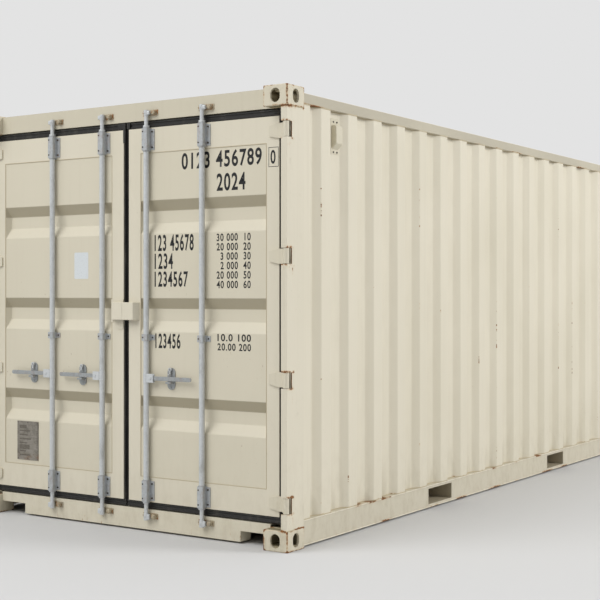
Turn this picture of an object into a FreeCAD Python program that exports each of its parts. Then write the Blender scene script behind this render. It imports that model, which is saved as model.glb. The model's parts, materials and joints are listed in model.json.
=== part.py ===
import FreeCAD, Part
import math
import os

# Twenty-foot steel cargo container, in millimetres.
# Shapes are drawn from the door end's right bottom corner: the first coordinate is the depth
# behind the door end, the second the distance in from the right-hand side, the third the height.
# save() then moves each piece so that the origin is the middle of the footprint, on the ground.

# ---- overall sizes
length = 6058.0
width = 2438.0
height = 2591.0

# ---- corner castings
casting_l = 178.0
casting_w = 162.0
casting_h = 118.0
casting_plate = 28.0
casting_outer_wall = 15.0
casting_inner_wall = 12.0
casting_edge_r = 6.0
lock_spacing_l = 5853.0
lock_spacing_w = 2259.0
lock_slot_l = 124.0
lock_slot_w = 63.5
lash_hole_w = 63.5
lash_hole_h = 80.0

# ---- sheet and frame
sheet = 2.0
skin_recess = 14.0
post_recess = 4.0
post_wall = 6.0
post_depth = casting_l
post_face = 40.0

# ---- side rails
top_rail_drop = 31.0
top_rail_h = 58.0
top_rail_w = 60.0
top_rail_wall = 4.0
side_rail_low = 11.0
side_rail_high = 155.0
side_rail_wall = 5.0
side_rail_lip = 50.0
side_rail_foot = 34.0

# ---- corrugation of the long walls, running upright
wave_pitch = 308.0
wave_crest = 99.0
wave_slope = 54.0
wave_depth = 36.0
wave_first_crest = 385.0
wave_end_flat = 260.0
wave_end_slope = 38.0
wave_tail = 60.0

# ---- corrugation of the closed end
end_pitch = 250.0
end_crest = 80.0
end_slope = 30.0
end_depth = 45.0
end_margin = 30.0

# ---- roof
roof_rib_pitch = 209.0
roof_rib_top = 90.0
roof_rib_foot = 122.0
roof_rib_rise = 14.0
roof_rib_margin = 70.0

# ---- door frame
door_face = 75.0
header_drop = 7.0
header_wall = 5.0
stop_face = 133.0
stop_reach = 104.0
stop_start = 60.0
header_stop_drop = 30.0
sill_low = 12.0
sill_high = 134.0
sill_wall = 5.0
sill_cut_l = 206.0
sill_cut_top = 75.0
floor_top = 173.0

# ---- floor
board = 28.0
board_gap = 1.5
board_rows = 5
beam_low = 20.0
beam_flange = 45.0
beam_wall = 4.5
beam_pitch = 300.0

# ---- fork pockets
pocket_spacing = 2090.0
pocket_shift = -71.0
pocket_w = 350.0
pocket_low = 30.0
pocket_high = 134.0
pocket_wall = 4.5
pocket_strap = 200.0

# ---- doors
leaf_foot_gap = 45.0
leaf_head_gap = 46.0
leaf_thick = 50.0
leaf_edge = 102.0
leaf_gap = 42.0
leaf_tube = 3.0
hinge_stile = 86.0
lock_stile = 92.0
leaf_top_rail = 149.0
leaf_bottom_rail = 149.0
panel_inset = 2.0
pan_count = 3
pan_pitch = 587.0
pan_mouth = 202.0
pan_floor = 74.0
pan_depth = 36.0
pan_end_slope = 40.0
pan_margin = 4.0
drain_r = 6.0
seal_front = 7.0
seal_back = 3.0
seal_hinge = 11.0
seal_clear = 5.0
seal_gap = 10.0

# ---- hinges
hinge_rises = (76.0, 771.0)
hinge_drops = (787.0, 84.0)
pin_in = 19.0
pin_r = 8.0
pin_play = 0.3
knuckle_r = 15.5
hinge_h = 85.0
hinge_tip_h = 56.0
hinge_tip = 166.0
blade = 10.0
blade_turn = 52.0
notch_depth = 55.0
notch_in = 48.0
hinge_play = 2.0
lug = 12.0

# ---- locking gear
outer_bar = 592.0
inner_bar = 175.0
bar_r = 17.0
bar_back = 5.0
bar_play = 0.8
strap = 3.2
strap_end = 5.0
strap_low_h = 126.0
strap_high_h = 134.0
strap_mid_low = 1148.0
strap_mid_h = 40.0
flange = 5.0
flange_long = 48.0
flange_short = 34.0
bar_low_rise = 4.0
bar_high_rise = 3.0
neck_r = 12.0
cam_low_drop = 12.0
cam_low_h = 50.0
cam_high_rise = 27.0
cam_high_h = 31.0
cam_nose = 21.0
cam_nose_r = 9.0
keeper_plate = 4.0
keeper_cheek = 40.0
keeper_stub = 14.0
keeper_near = 36.0
keeper_far = 24.0
keeper_h = 36.0
keeper_stand = 28.0

# ---- handles and their catches
handle_z = 925.0
handle_h = 25.0
handle_t = 8.0
handle_reach = 345.0
handle_front = 41.0
handle_pivot = 44.0
handle_pin_r = 6.0
hub_r = 19.0
hub_h = 58.0
ear = 4.0
ear_play = 1.0
ear_h = 44.0
keep_at = 176.0
keep_w = 57.0
keep_h = 130.0
keep_plate = 4.0
shelf_gap = 5.0
shelf_t = 12.0
shelf_w = 40.0
shelf_front = 39.0
catch_gap = 10.0
catch_arm = 33.0
catch_pin_r = 5.0
catch_t = 8.0
catch_clear = 7.0
catch_pin_end = 3.5
catch_boss_r = 11.0
catch_tip_w = 8.0
catch_tip_t = 6.0
catch_tip_front = 42.0

# ---- lock box, data plate and vents
box_low = 1271.0
box_high = 1378.0
box_front = 34.0
box_half_front = 84.0
box_half_back = 108.0
box_wall = 3.0
box_seam = 8.0
box_rim = 18.0
tab_w = 61.0
tab_h = 56.0
tab_t = 4.0
plate_w = 188.0
plate_h = 250.0
plate_low = 357.0
plate_in = 391.0
plate_t = 3.0
vent_drop = 39.0
vent_h = 210.0
vent_w = 90.0
vent_plate = 2.0
vent_hood_w = 72.0
vent_hood_drop = 40.0
vent_hood_h = 145.0
vent_hood_slant = 36.0

middle = width / 2
bar_axis = door_face - bar_back - bar_r
leaf_back = door_face + leaf_thick
side_floor = skin_recess + wave_depth
panel_face = door_face + panel_inset
top_rail_high = height - top_rail_drop
top_rail_low = top_rail_high - top_rail_h
header_low = height - casting_h
header_high = height - header_drop
leaf_low = sill_high + leaf_foot_gap
leaf_high = header_low - leaf_head_gap
hinge_heights = [leaf_low + rise for rise in hinge_rises] + [leaf_high - drop for drop in hinge_drops]
bar_low = leaf_low + bar_low_rise
bar_high = leaf_high + bar_high_rise
cam_low = (sill_high - cam_low_drop - cam_low_h, sill_high - cam_low_drop)
cam_high = (header_low + cam_high_rise, header_low + cam_high_rise + cam_high_h)
wave_room = length - post_depth - wave_tail - wave_first_crest
wave_count = int(wave_room // wave_pitch)


def at(x, y, z):
    return FreeCAD.Vector(x, y, z)


def block(x0, x1, y0, y1, z0, z1):
    """A box between two depths, two distances in and two heights."""
    return Part.makeBox(x1 - x0, y1 - y0, z1 - z0, at(x0, y0, z0))


def rod(x, y, z0, z1, r):
    """An upright round bar."""
    return Part.makeCylinder(r, z1 - z0, at(x, y, z0))


def cross_rod(x0, x1, y, z, r):
    """A round bar that points away from the door end."""
    return Part.makeCylinder(r, x1 - x0, at(x0, y, z), at(1, 0, 0))


def upright(points, z0, z1):
    """A prism whose plan is a list of (depth, distance in) corners."""
    outline = Part.makePolygon([at(x, y, z0) for x, y in points + points[:1]])
    return Part.Face(outline).extrude(at(0, 0, z1 - z0))


def across(points, y0, y1):
    """A prism whose side view is a list of (depth, height) corners."""
    outline = Part.makePolygon([at(x, y0, z) for x, z in points + points[:1]])
    return Part.Face(outline).extrude(at(0, y1 - y0, 0))


def join(first, *others):
    return first.fuse(list(others)).removeSplitter() if others else first


def mirrored(shape):
    """The same piece on the other side of the container."""
    return shape.mirror(at(0, middle, 0), at(0, 1, 0))


def turned_end(shape):
    """The same piece at the closed end."""
    return shape.mirror(at(length / 2, 0, 0), at(1, 0, 0))


def flipped(shape):
    """The same piece at the top instead of the bottom."""
    return shape.mirror(at(0, 0, height / 2), at(0, 0, 1))


def save(name, *solids):
    """Writes one node, moved so that the origin is the middle of the footprint."""
    piece = Part.makeCompound(list(solids)) if len(solids) > 1 else solids[0]
    piece = piece.copy()
    piece.translate(at(-length / 2, -width / 2, 0))
    piece.exportStep(f"parts/{name}.step")
    print(f"{name:28s} {len(piece.Solids):3d} solids {piece.Volume * 7.85e-6:9.1f} kg as steel")


def slot_upright(x, y, z0, z1, long, wide):
    """A round-ended hole through a level plate, long way from end to end."""
    half = (long - wide) / 2
    return join(
        block(x - half, x + half, y - wide / 2, y + wide / 2, z0, z1),
        rod(x - half, y, z0, z1, wide / 2),
        rod(x + half, y, z0, z1, wide / 2),
    )


def casting():
    """Hollow corner casting of the door end, right side, bottom."""
    body = block(0, casting_l, 0, casting_w, 0, casting_h)
    body = body.makeFillet(casting_edge_r, body.Edges)
    hollow = block(
        casting_outer_wall, casting_l - casting_inner_wall,
        casting_outer_wall, casting_w - casting_inner_wall,
        casting_plate, casting_h - casting_inner_wall,
    )
    slot_x = (length - lock_spacing_l) / 2
    slot_y = (width - lock_spacing_w) / 2
    slot = slot_upright(slot_x, slot_y, -1, casting_plate + 1, lock_slot_l, lock_slot_w)
    rise = (lash_hole_h - lash_hole_w) / 2
    mid_z = casting_h / 2
    cuts = [hollow, slot]
    for z in (mid_z - rise, mid_z + rise):
        cuts.append(cross_rod(-1, casting_outer_wall + 1, casting_w / 2, z, lash_hole_w / 2))
        cuts.append(Part.makeCylinder(
            lash_hole_w / 2, casting_outer_wall + 2, at(casting_l / 2, -1, z), at(0, 1, 0)))
    cuts.append(block(-1, casting_outer_wall + 1, casting_w / 2 - lash_hole_w / 2,
                      casting_w / 2 + lash_hole_w / 2, mid_z - rise, mid_z + rise))
    cuts.append(block(casting_l / 2 - lash_hole_w / 2, casting_l / 2 + lash_hole_w / 2,
                      -1, casting_outer_wall + 1, mid_z - rise, mid_z + rise))
    return body.cut(cuts)


def save_castings():
    low = casting()
    for end, to_end in (("door", lambda s: s), ("front", turned_end)):
        for side, to_side in (("right", lambda s: s), ("left", mirrored)):
            piece = to_side(to_end(low))
            save(f"casting_{end}_{side}_low", piece)
            save(f"casting_{end}_{side}_high", flipped(piece))


def door_post():
    """Hollow door post with four hinge notches, its lugs and its hinge pins."""
    z0 = casting_h
    z1 = height - casting_h
    a = post_recess
    w = post_wall
    back = post_depth
    outline = [
        (a, a), (back, a), (back, stop_reach), (stop_face, stop_reach), (stop_face, stop_start),
        (stop_face + w, stop_start), (stop_face + w, stop_reach - w), (back - w, stop_reach - w),
        (back - w, a + w), (a + w, a + w), (a + w, a + post_face), (a, a + post_face),
    ]
    post = upright(outline, z0, z1)
    half = hinge_h / 2 + hinge_play
    notches = []
    lugs = []
    for z in hinge_heights:
        notches.append(block(-1, notch_depth, -1, notch_in, z - half, z + half))
        for low in (z - half - lug, z + half):
            lugs.append(block(a, pin_in + knuckle_r, a, pin_in + knuckle_r, low, low + lug))
    post = post.cut(notches)
    pins = [rod(pin_in, pin_in, z - half - lug, z + half + lug, pin_r) for z in hinge_heights]
    return join(post, *lugs, *pins)


def front_post():
    """Corner post of the closed end: an angle of thick plate with an inner return."""
    a = post_recess
    w = post_wall
    outline = [
        (a, a), (post_depth, a), (post_depth, stop_reach), (post_depth - w, stop_reach),
        (post_depth - w, a + w), (a + w, a + w), (a + w, casting_w), (a, casting_w),
    ]
    return turned_end(upright(outline, casting_h, height - casting_h))


def door_header():
    """Box beam over the doors, with the lip that the door seal closes against."""
    y0 = casting_w
    y1 = width - casting_w
    beam = block(door_face, post_depth, y0, y1, header_low, header_high)
    w = header_wall
    bore = block(door_face + w, post_depth - w, y0 - 1, y1 + 1, header_low + w, header_high - w)
    lip = block(stop_face, stop_face + w, stop_reach, width - stop_reach,
                header_low - header_stop_drop, header_low)
    return join(beam.cut(bore), lip)


def door_sill():
    """Threshold under the doors, cut away beside each bottom casting."""
    y0 = casting_w
    y1 = width - casting_w
    w = sill_wall
    outline = [
        (door_face, sill_low), (post_depth, sill_low), (post_depth, floor_top),
        (stop_face, floor_top), (stop_face, sill_high), (door_face, sill_high),
    ]
    bore = [
        (door_face + w, sill_low + w), (post_depth - w, sill_low + w), (post_depth - w, floor_top - w),
        (stop_face + w, floor_top - w), (stop_face + w, sill_high - w), (door_face + w, sill_high - w),
    ]
    sill = across(outline, y0, y1).cut(across(bore, y0 - 1, y1 + 1))
    cut_end = y0 + sill_cut_l
    gap = block(door_face - 1, post_depth + 1, y0 - 1, cut_end, sill_low - 1, sill_cut_top)
    shelf = block(door_face, post_depth, y0, cut_end + w, sill_cut_top, sill_cut_top + w)
    cheek = block(door_face, post_depth, cut_end, cut_end + w, sill_low, sill_cut_top + w)
    sill = sill.cut([gap, mirrored(gap)])
    return join(sill, shelf, cheek, mirrored(shelf), mirrored(cheek))


def front_rails():
    """Top and bottom beams of the closed end."""
    y0 = casting_w
    y1 = width - casting_w
    w = header_wall
    top = block(post_recess, post_depth, y0, y1, top_rail_low, header_high)
    top = top.cut(block(post_recess + w, post_depth - w, y0 - 1, y1 + 1,
                        top_rail_low + w, header_high - w))
    low = block(post_recess, post_depth, y0, y1, sill_low, side_rail_high)
    low = low.cut(block(post_recess + w, post_depth + 1, y0 - 1, y1 + 1,
                        sill_low + w, side_rail_high - w))
    return turned_end(top), turned_end(low)


def pocket_centres():
    mid = length / 2 + pocket_shift
    return (mid - pocket_spacing / 2, mid + pocket_spacing / 2)


def top_side_rail():
    y0 = skin_recess
    w = top_rail_wall
    rail = block(casting_l, length - casting_l, y0, y0 + top_rail_w, top_rail_low, top_rail_high)
    bore = block(casting_l - 1, length - casting_l + 1, y0 + w, y0 + top_rail_w - w,
                 top_rail_low + w, top_rail_high - w)
    return rail.cut(bore)


def along(outline, x0, x1):
    """A bar of one section, a list of (distance in, height) corners, between two depths."""
    wire = Part.makePolygon([at(x0, y, z) for y, z in outline + outline[:1]])
    return Part.Face(wire).extrude(at(x1 - x0, 0, 0))


def bottom_side_rail():
    """Channel along the foot of a long wall, open inwards, in three lengths between the fork mouths."""
    y = skin_recess
    w = side_rail_wall
    outline = [
        (y, side_rail_low), (y + side_rail_foot, side_rail_low),
        (y + side_rail_foot, side_rail_low + w), (y + w, side_rail_low + w),
        (y + w, side_rail_high - w), (y + side_rail_lip, side_rail_high - w),
        (y + side_rail_lip, side_rail_high), (y, side_rail_high),
    ]
    near, far = pocket_centres()
    half = pocket_w / 2
    ends = ((casting_l, near - half), (near + half, far - half), (far + half, length - casting_l))
    return [along(outline, *span) for span in ends]


def fork_mouths():
    """The rail's two flanges, running on above and below each fork opening."""
    y = skin_recess
    w = side_rail_wall
    foot = [(y, side_rail_low), (y + side_rail_foot, side_rail_low),
            (y + side_rail_foot, side_rail_low + w), (y + w, side_rail_low + w),
            (y + w, pocket_low), (y, pocket_low)]
    lip = [(y, pocket_high), (y + w, pocket_high), (y + w, side_rail_high - w),
           (y + side_rail_lip, side_rail_high - w), (y + side_rail_lip, side_rail_high),
           (y, side_rail_high)]
    half = pocket_w / 2
    return [along(outline, x - half, x + half) for x in pocket_centres() for outline in (foot, lip)]


def wave_line():
    """Outer line of a long wall's corrugation, as (depth, distance in) corners."""
    crest = skin_recess
    trough = side_floor
    points = [(post_depth, crest), (wave_end_flat, crest), (wave_end_flat + wave_end_slope, trough)]
    x = wave_first_crest
    for _ in range(wave_count):
        points.append((x - wave_slope, trough))
        points.append((x, crest))
        points.append((x + wave_crest, crest))
        points.append((x + wave_crest + wave_slope, trough))
        x += wave_pitch
    points += [(x - wave_slope, trough), (x, crest), (length - post_depth, crest)]
    return points


def side_wall():
    line = wave_line()
    inner = [(x, y + sheet) for x, y in reversed(line)]
    return upright(line + inner, side_rail_high, top_rail_low)


def front_wall():
    """Corrugated closed end between its posts and rails."""
    crest = post_recess + post_wall - sheet
    trough = crest + end_depth
    start = casting_w
    count = int((width - 2 * start - 2 * end_margin) // end_pitch)
    y = (width - count * end_pitch) / 2
    points = [(crest, start)]
    for _ in range(count):
        half_trough = (end_pitch - end_crest - 2 * end_slope) / 2
        points.append((crest, y + half_trough))
        points.append((trough, y + half_trough + end_slope))
        points.append((trough, y + half_trough + end_slope + end_crest))
        points.append((crest, y + half_trough + 2 * end_slope + end_crest))
        y += end_pitch
    points.append((crest, width - start))
    inner = [(x + sheet, y) for x, y in reversed(points)]
    return turned_end(upright(points + inner, side_rail_high, top_rail_low))


def hipped(x, y0, y1, z, foot, top, rise, grow=0.0):
    """A low pressed rib across the roof, sloping on all four sides."""
    slope = (foot - top) / 2
    low = [at(x - foot / 2 - grow, y0 - grow, z), at(x + foot / 2 + grow, y0 - grow, z),
           at(x + foot / 2 + grow, y1 + grow, z), at(x - foot / 2 - grow, y1 + grow, z)]
    high = [at(x - top / 2 - grow, y0 + slope - grow, z + rise),
            at(x + top / 2 + grow, y0 + slope - grow, z + rise),
            at(x + top / 2 + grow, y1 - slope + grow, z + rise),
            at(x - top / 2 - grow, y1 - slope + grow, z + rise)]
    return frustum(low, high)


def frustum(low, high):
    """A solid between two four-cornered outlines that match corner for corner."""
    def face(points):
        return Part.Face(Part.makePolygon(points + points[:1]))
    faces = [face(low), face(high)]
    for i in range(4):
        j = (i + 1) % 4
        faces.append(face([low[i], low[j], high[j], high[i]]))
    solid = Part.makeSolid(Part.makeShell(faces))
    if solid.Volume < 0:
        solid.reverse()
    return solid


def roof():
    """Flat sheet with a row of raised ribs pressed across it."""
    x0 = post_depth
    x1 = length - post_depth
    y0 = skin_recess
    y1 = width - skin_recess
    z = top_rail_high
    count = int((x1 - x0 - roof_rib_foot) // roof_rib_pitch) + 1
    first = (x0 + x1) / 2 - (count - 1) * roof_rib_pitch / 2
    flat = block(x0, x1, y0, y1, z, z + sheet)
    outer = []
    inner = []
    for i in range(count):
        x = first + i * roof_rib_pitch
        ends = (y0 + roof_rib_margin, y1 - roof_rib_margin)
        outer.append(hipped(x, *ends, z, roof_rib_foot, roof_rib_top, roof_rib_rise + sheet, sheet))
        inner.append(hipped(x, *ends, z, roof_rib_foot, roof_rib_top, roof_rib_rise))
    return flat.fuse(outer).cut(inner).removeSplitter()


def floor_boards():
    """Plywood boards on the cross beams, two side by side in each row."""
    y0 = skin_recess + side_rail_lip + board_gap
    y1 = width - y0
    x0 = post_depth
    x1 = length - post_depth
    step = (x1 - x0) / board_rows
    boards = []
    for i in range(board_rows):
        ends = (x0 + i * step + (board_gap if i else 0), x0 + (i + 1) * step)
        for sides in ((y0, middle - board_gap / 2), (middle + board_gap / 2, y1)):
            boards.append(block(*ends, *sides, floor_top - board, floor_top))
    return boards


def floor_beams():
    """Pressed channels from rail to rail, left out where a fork pocket runs."""
    y0 = skin_recess + side_rail_wall
    y1 = width - y0
    top = floor_top - board
    count = int((length - 2 * post_depth - beam_flange) // beam_pitch) + 1
    first = (length - (count - 1) * beam_pitch) / 2
    w = beam_wall
    beams = []
    for i in range(count):
        x = first + i * beam_pitch
        near = min(abs(x - c) for c in pocket_centres())
        if near < pocket_w / 2 + pocket_wall + beam_flange:
            continue
        outline = [
            (x, beam_low), (x + beam_flange, beam_low), (x + beam_flange, beam_low + w),
            (x + w, beam_low + w), (x + w, top - w), (x + beam_flange, top - w),
            (x + beam_flange, top), (x, top),
        ]
        beams.append(across(outline, y0, y1))
    return beams


def fork_pockets():
    """Two steel tunnels for lift-truck forks, open below except near their mouths."""
    y0 = skin_recess + side_rail_wall
    y1 = width - y0
    w = pocket_wall
    foot = side_rail_low + side_rail_wall
    tunnels = []
    for x in pocket_centres():
        half = pocket_w / 2
        roof_plate = block(x - half - w, x + half + w, y0, y1, pocket_high, pocket_high + w)
        webs = [block(x - half - w, x - half, y0, y1, foot, pocket_high),
                block(x + half, x + half + w, y0, y1, foot, pocket_high)]
        straps = [block(x - half, x + half, y0, y0 + pocket_strap, pocket_low - w, pocket_low),
                  block(x - half, x + half, y1 - pocket_strap, y1, pocket_low - w, pocket_low)]
        tunnels.append(join(roof_plate, *webs, *straps))
    return tunnels


def leaf_span():
    """Both edges of the right-hand door leaf."""
    return leaf_edge, middle - leaf_gap / 2


def leaf_window():
    """The opening in the leaf's frame that the pressed panel fills."""
    y0, y1 = leaf_span()
    return (y0 + hinge_stile, y1 - lock_stile, leaf_low + leaf_bottom_rail, leaf_high - leaf_top_rail)


def leaf_frame():
    """Hollow rectangular frame of a door leaf, with drain holes under it."""
    y0, y1 = leaf_span()
    wy0, wy1, wz0, wz1 = leaf_window()
    ring = block(door_face, leaf_back, y0, y1, leaf_low, leaf_high)
    window = block(door_face - 1, leaf_back + 1, wy0, wy1, wz0, wz1)
    t = leaf_tube
    front = door_face + t
    back = leaf_back - t
    hollow = block(front, back, y0 + t, y1 - t, leaf_low + t, leaf_high - t)
    core = block(front - 1, back + 1, wy0 - t, wy1 + t, wz0 - t, wz1 + t)
    frame = ring.cut(window).cut(hollow.cut(core))
    mid = (door_face + leaf_back) / 2
    drains = [rod(mid, y, leaf_low - 1, leaf_low + t + 1, drain_r)
              for y in (y0 + hinge_stile, y1 - lock_stile)]
    return frame.cut(drains)


def leaf_panel():
    """Pressed sheet in the frame's opening, with three pans pushed inwards."""
    wy0, wy1, wz0, wz1 = leaf_window()
    x = panel_face
    panel = block(x, x + sheet, wy0, wy1, wz0, wz1)
    outer = []
    inner = []
    y0 = wy0 + pan_margin
    y1 = wy1 - pan_margin
    middle_z = (wz0 + wz1) / 2
    for i in range(pan_count):
        z = middle_z + (i - (pan_count - 1) / 2) * pan_pitch
        for depth, grow, bucket in ((pan_depth + sheet, sheet, outer), (pan_depth, 0.0, inner)):
            m = pan_mouth / 2 + grow
            f = pan_floor / 2 + grow
            e = pan_end_slope
            low = [at(x, y0 - grow, z - m), at(x, y1 + grow, z - m),
                   at(x, y1 + grow, z + m), at(x, y0 - grow, z + m)]
            high = [at(x + depth, y0 + e - grow, z - f), at(x + depth, y1 - e + grow, z - f),
                    at(x + depth, y1 - e + grow, z + f), at(x + depth, y0 + e - grow, z + f)]
            bucket.append(frustum(low, high))
    return panel.fuse(outer).cut(inner).removeSplitter()


def leaf_seal():
    """Rubber seal round the leaf's edge."""
    y0, y1 = leaf_span()
    x0 = door_face + seal_front
    x1 = leaf_back + seal_back
    outer = block(x0, x1, y0 - seal_hinge, middle - seal_gap / 2,
                  sill_high + seal_clear, header_low - seal_clear)
    return outer.cut(block(x0 - 1, x1 + 1, y0, y1, leaf_low, leaf_high))


def hinge_blades():
    """Four hinge leaves: a knuckle on the pin and a cranked plate that narrows onto the door."""
    turn = math.radians(blade_turn)
    ahead = (math.cos(turn), math.sin(turn))
    y_out = pin_in + knuckle_r * ahead[1]
    x_out = pin_in - knuckle_r * ahead[0]
    flat = door_face - blade
    y_bend = y_out + (flat - x_out) * ahead[0] / ahead[1]
    thick = blade + hinge_play
    y_in = y_out - thick * ahead[1]
    x_in = x_out + thick * ahead[0]
    y_heel = y_in + (door_face - x_in) * ahead[0] / ahead[1]
    outline = [(x_out, y_out), (flat, y_bend), (flat, hinge_tip), (door_face, hinge_tip),
               (door_face, y_heel), (x_in, y_in)]
    blades = []
    for z in hinge_heights:
        h = hinge_h / 2
        tip = hinge_tip_h / 2
        plate = upright(outline, z - h, z + h)
        side = [(leaf_edge, h), (hinge_tip, tip), (hinge_tip, h + 1), (leaf_edge, h + 1)]
        for sign in (1, -1):
            corner = [at(0, y, z + sign * d) for y, d in side]
            wedge = Part.Face(Part.makePolygon(corner + corner[:1])).extrude(at(leaf_back, 0, 0))
            plate = plate.cut(wedge)
        knuckle = rod(pin_in, pin_in, z - h, z + h, knuckle_r)
        bore = rod(pin_in, pin_in, z - h - 1, z + h + 1, pin_r + pin_play)
        blades.append(join(plate, knuckle).cut(bore))
    return blades


def bar_strap(y, z0, z1, seat):
    """A bent strap round a locking bar on the face at the depth seat, with a longer hinge-side flange."""
    inner = bar_r + bar_play
    outer = inner + strap
    hood = join(rod(bar_axis, y, z0, z1, outer), block(bar_axis, seat, y - outer, y + outer, z0, z1))
    bore = join(rod(bar_axis, y, z0 - 1, z1 + 1, inner),
                block(bar_axis, seat + 1, y - inner, y + inner, z0 - 1, z1 + 1))
    feet = [block(door_face - flange, seat, y - flange_long, y - inner, z0, z1),
            block(door_face - flange, seat, y + inner, y + flange_short, z0, z1)]
    return join(hood.cut(bore), *feet)


def bar_straps():
    straps = []
    low = leaf_low + strap_end
    high = leaf_high - strap_end
    for y in (middle - outer_bar, middle - inner_bar):
        straps.append(bar_strap(y, low, low + strap_low_h, door_face))
        straps.append(bar_strap(y, strap_mid_low, strap_mid_low + strap_mid_h, panel_face))
        straps.append(bar_strap(y, high - strap_high_h, high, door_face))
    return straps


def cam(y, z0, z1):
    """Locking cam: a round boss with a nose to the hinge side."""
    boss = rod(bar_axis, y, z0, z1, neck_r)
    nose = rod(bar_axis, y - cam_nose, z0, z1, cam_nose_r)
    web = block(bar_axis - cam_nose_r, bar_axis + cam_nose_r, y - cam_nose, y, z0, z1)
    return join(boss, nose, web)


def lock_bar(y, handled):
    """Round locking bar with a cam at each end, and a hub where it has a handle."""
    pieces = [
        rod(bar_axis, y, cam_low[0], bar_low, neck_r), rod(bar_axis, y, bar_high, cam_high[1], neck_r),
        cam(y, *cam_low), cam(y, *cam_high),
    ]
    if handled:
        half = hub_h / 2
        pieces.append(rod(bar_axis, y, handle_z - half, handle_z + half, hub_r))
        pivot = y - handle_pivot
        back = handle_front + handle_t
        for x0 in (handle_front - ear_play - ear, back + ear_play):
            pieces.append(block(x0, x0 + ear, pivot, y, handle_z - ear_h / 2, handle_z + ear_h / 2))
            pieces.append(cross_rod(x0, x0 + ear, pivot, handle_z, ear_h / 2))
        pieces.append(cross_rod(handle_front - ear_play - ear, back + ear_play + ear,
                                pivot, handle_z, handle_pin_r))
    bar = rod(bar_axis, y, bar_low, bar_high, bar_r)
    return join(bar, *pieces)


def handle(y):
    """Flat lever on the hub's pin."""
    pivot = y - handle_pivot
    tip = y - handle_reach + handle_h / 2
    front = handle_front
    back = front + handle_t
    half = handle_h / 2
    lever = join(
        block(front, back, tip, pivot, handle_z - half, handle_z + half),
        cross_rod(front, back, pivot, handle_z, half),
        cross_rod(front, back, tip, handle_z, half),
    )
    return lever.cut(cross_rod(front - 1, back + 1, pivot, handle_z, handle_pin_r + pin_play))


def catch_pivot_z():
    return handle_z + handle_h / 2 + catch_gap + catch_arm


def handle_keep(y):
    """Oval plate on the door with a shelf under the handle and the catch's pin."""
    centre = y - keep_at
    x0 = door_face - keep_plate
    half = keep_w / 2
    rise = keep_h / 2 - half
    plate = join(
        block(x0, panel_face, centre - half, centre + half, handle_z - rise, handle_z + rise),
        cross_rod(x0, panel_face, centre, handle_z - rise, half),
        cross_rod(x0, panel_face, centre, handle_z + rise, half),
    )
    top = handle_z - handle_h / 2 - shelf_gap
    shelf = block(shelf_front, door_face, centre - shelf_w / 2, centre + shelf_w / 2, top - shelf_t, top)
    pin_front = x0 - catch_clear - catch_t - catch_pin_end
    pin = cross_rod(pin_front, door_face, centre, catch_pivot_z(), catch_pin_r)
    return join(plate, shelf, pin)


def handle_catch(y):
    """Hinged finger that hangs over the handle."""
    centre = y - keep_at
    z = catch_pivot_z()
    x1 = door_face - keep_plate - catch_clear
    x0 = x1 - catch_t
    tip_low = z - catch_arm
    boss = cross_rod(x0, x1, centre, z, catch_boss_r)
    arm = block(x0, x1, centre - catch_tip_w / 2, centre + catch_tip_w / 2, tip_low, z)
    tip = block(catch_tip_front, x1, centre - catch_tip_w / 2, centre + catch_tip_w / 2,
                tip_low, tip_low + catch_tip_t)
    return join(boss, arm, tip).cut(cross_rod(x0 - 1, x1 + 1, centre, z, catch_pin_r + pin_play))


def keepers():
    """Cheeks on the header and the sill beside each cam, open towards the outside."""
    blocks = []
    for y, sign in ((middle - outer_bar, 1), (middle - inner_bar, 1),
                    (middle + inner_bar, -1), (middle + outer_bar, -1)):
        for z0, z1 in (cam_low, cam_high):
            low = (z0 + z1 - keeper_h) / 2
            high = low + keeper_h
            near = sorted((y - sign * keeper_near, y - sign * (keeper_near + keeper_cheek)))
            far = sorted((y + sign * keeper_far, y + sign * (keeper_far + keeper_stub)))
            base = sorted((y - sign * (keeper_near + keeper_cheek), y + sign * (keeper_far + keeper_stub)))
            blocks.append(join(
                block(door_face - keeper_plate, door_face, *base, low, high),
                block(door_face - keeper_stand, door_face, *near, low, high),
                block(door_face - keeper_stand / 2, door_face, *far, low, high),
            ))
    return blocks


def lock_box_half():
    """Half of the padlock hood, fixed to the right-hand leaf, open below."""
    y_seam = middle - box_seam / 2
    outline = [(door_face, middle - box_half_back), (box_front, middle - box_half_front),
               (box_front, y_seam), (door_face, y_seam)]
    w = box_wall
    inner = [(door_face + 1, middle - box_half_back + 2 * w), (box_front + w, middle - box_half_front + w),
             (box_front + w, y_seam + 1), (door_face + 1, y_seam + 1)]
    hood = upright(outline, box_low, box_high)
    return hood.cut(upright(inner, box_low - 1, box_high - w))


def lock_box_backing():
    """Rim plate and padlock tab beside the hood on the left-hand leaf."""
    y0 = middle + leaf_gap / 2
    y1 = middle + box_half_back + box_rim / 2
    rim = block(door_face - tab_t, door_face, middle + box_half_back - box_wall, y1,
                box_low - box_rim, box_high + box_rim)
    cap = block(door_face - tab_t, door_face, y0, y1, box_high, box_high + box_rim)
    tab = block(door_face - tab_t, door_face, y0, y0 + tab_w, box_low - tab_h, box_low)
    return rim, cap, tab


def data_plate():
    y0 = width - plate_in - plate_w / 2
    return block(panel_face - plate_t, panel_face, y0, y0 + plate_w, plate_low, plate_low + plate_h)


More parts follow.
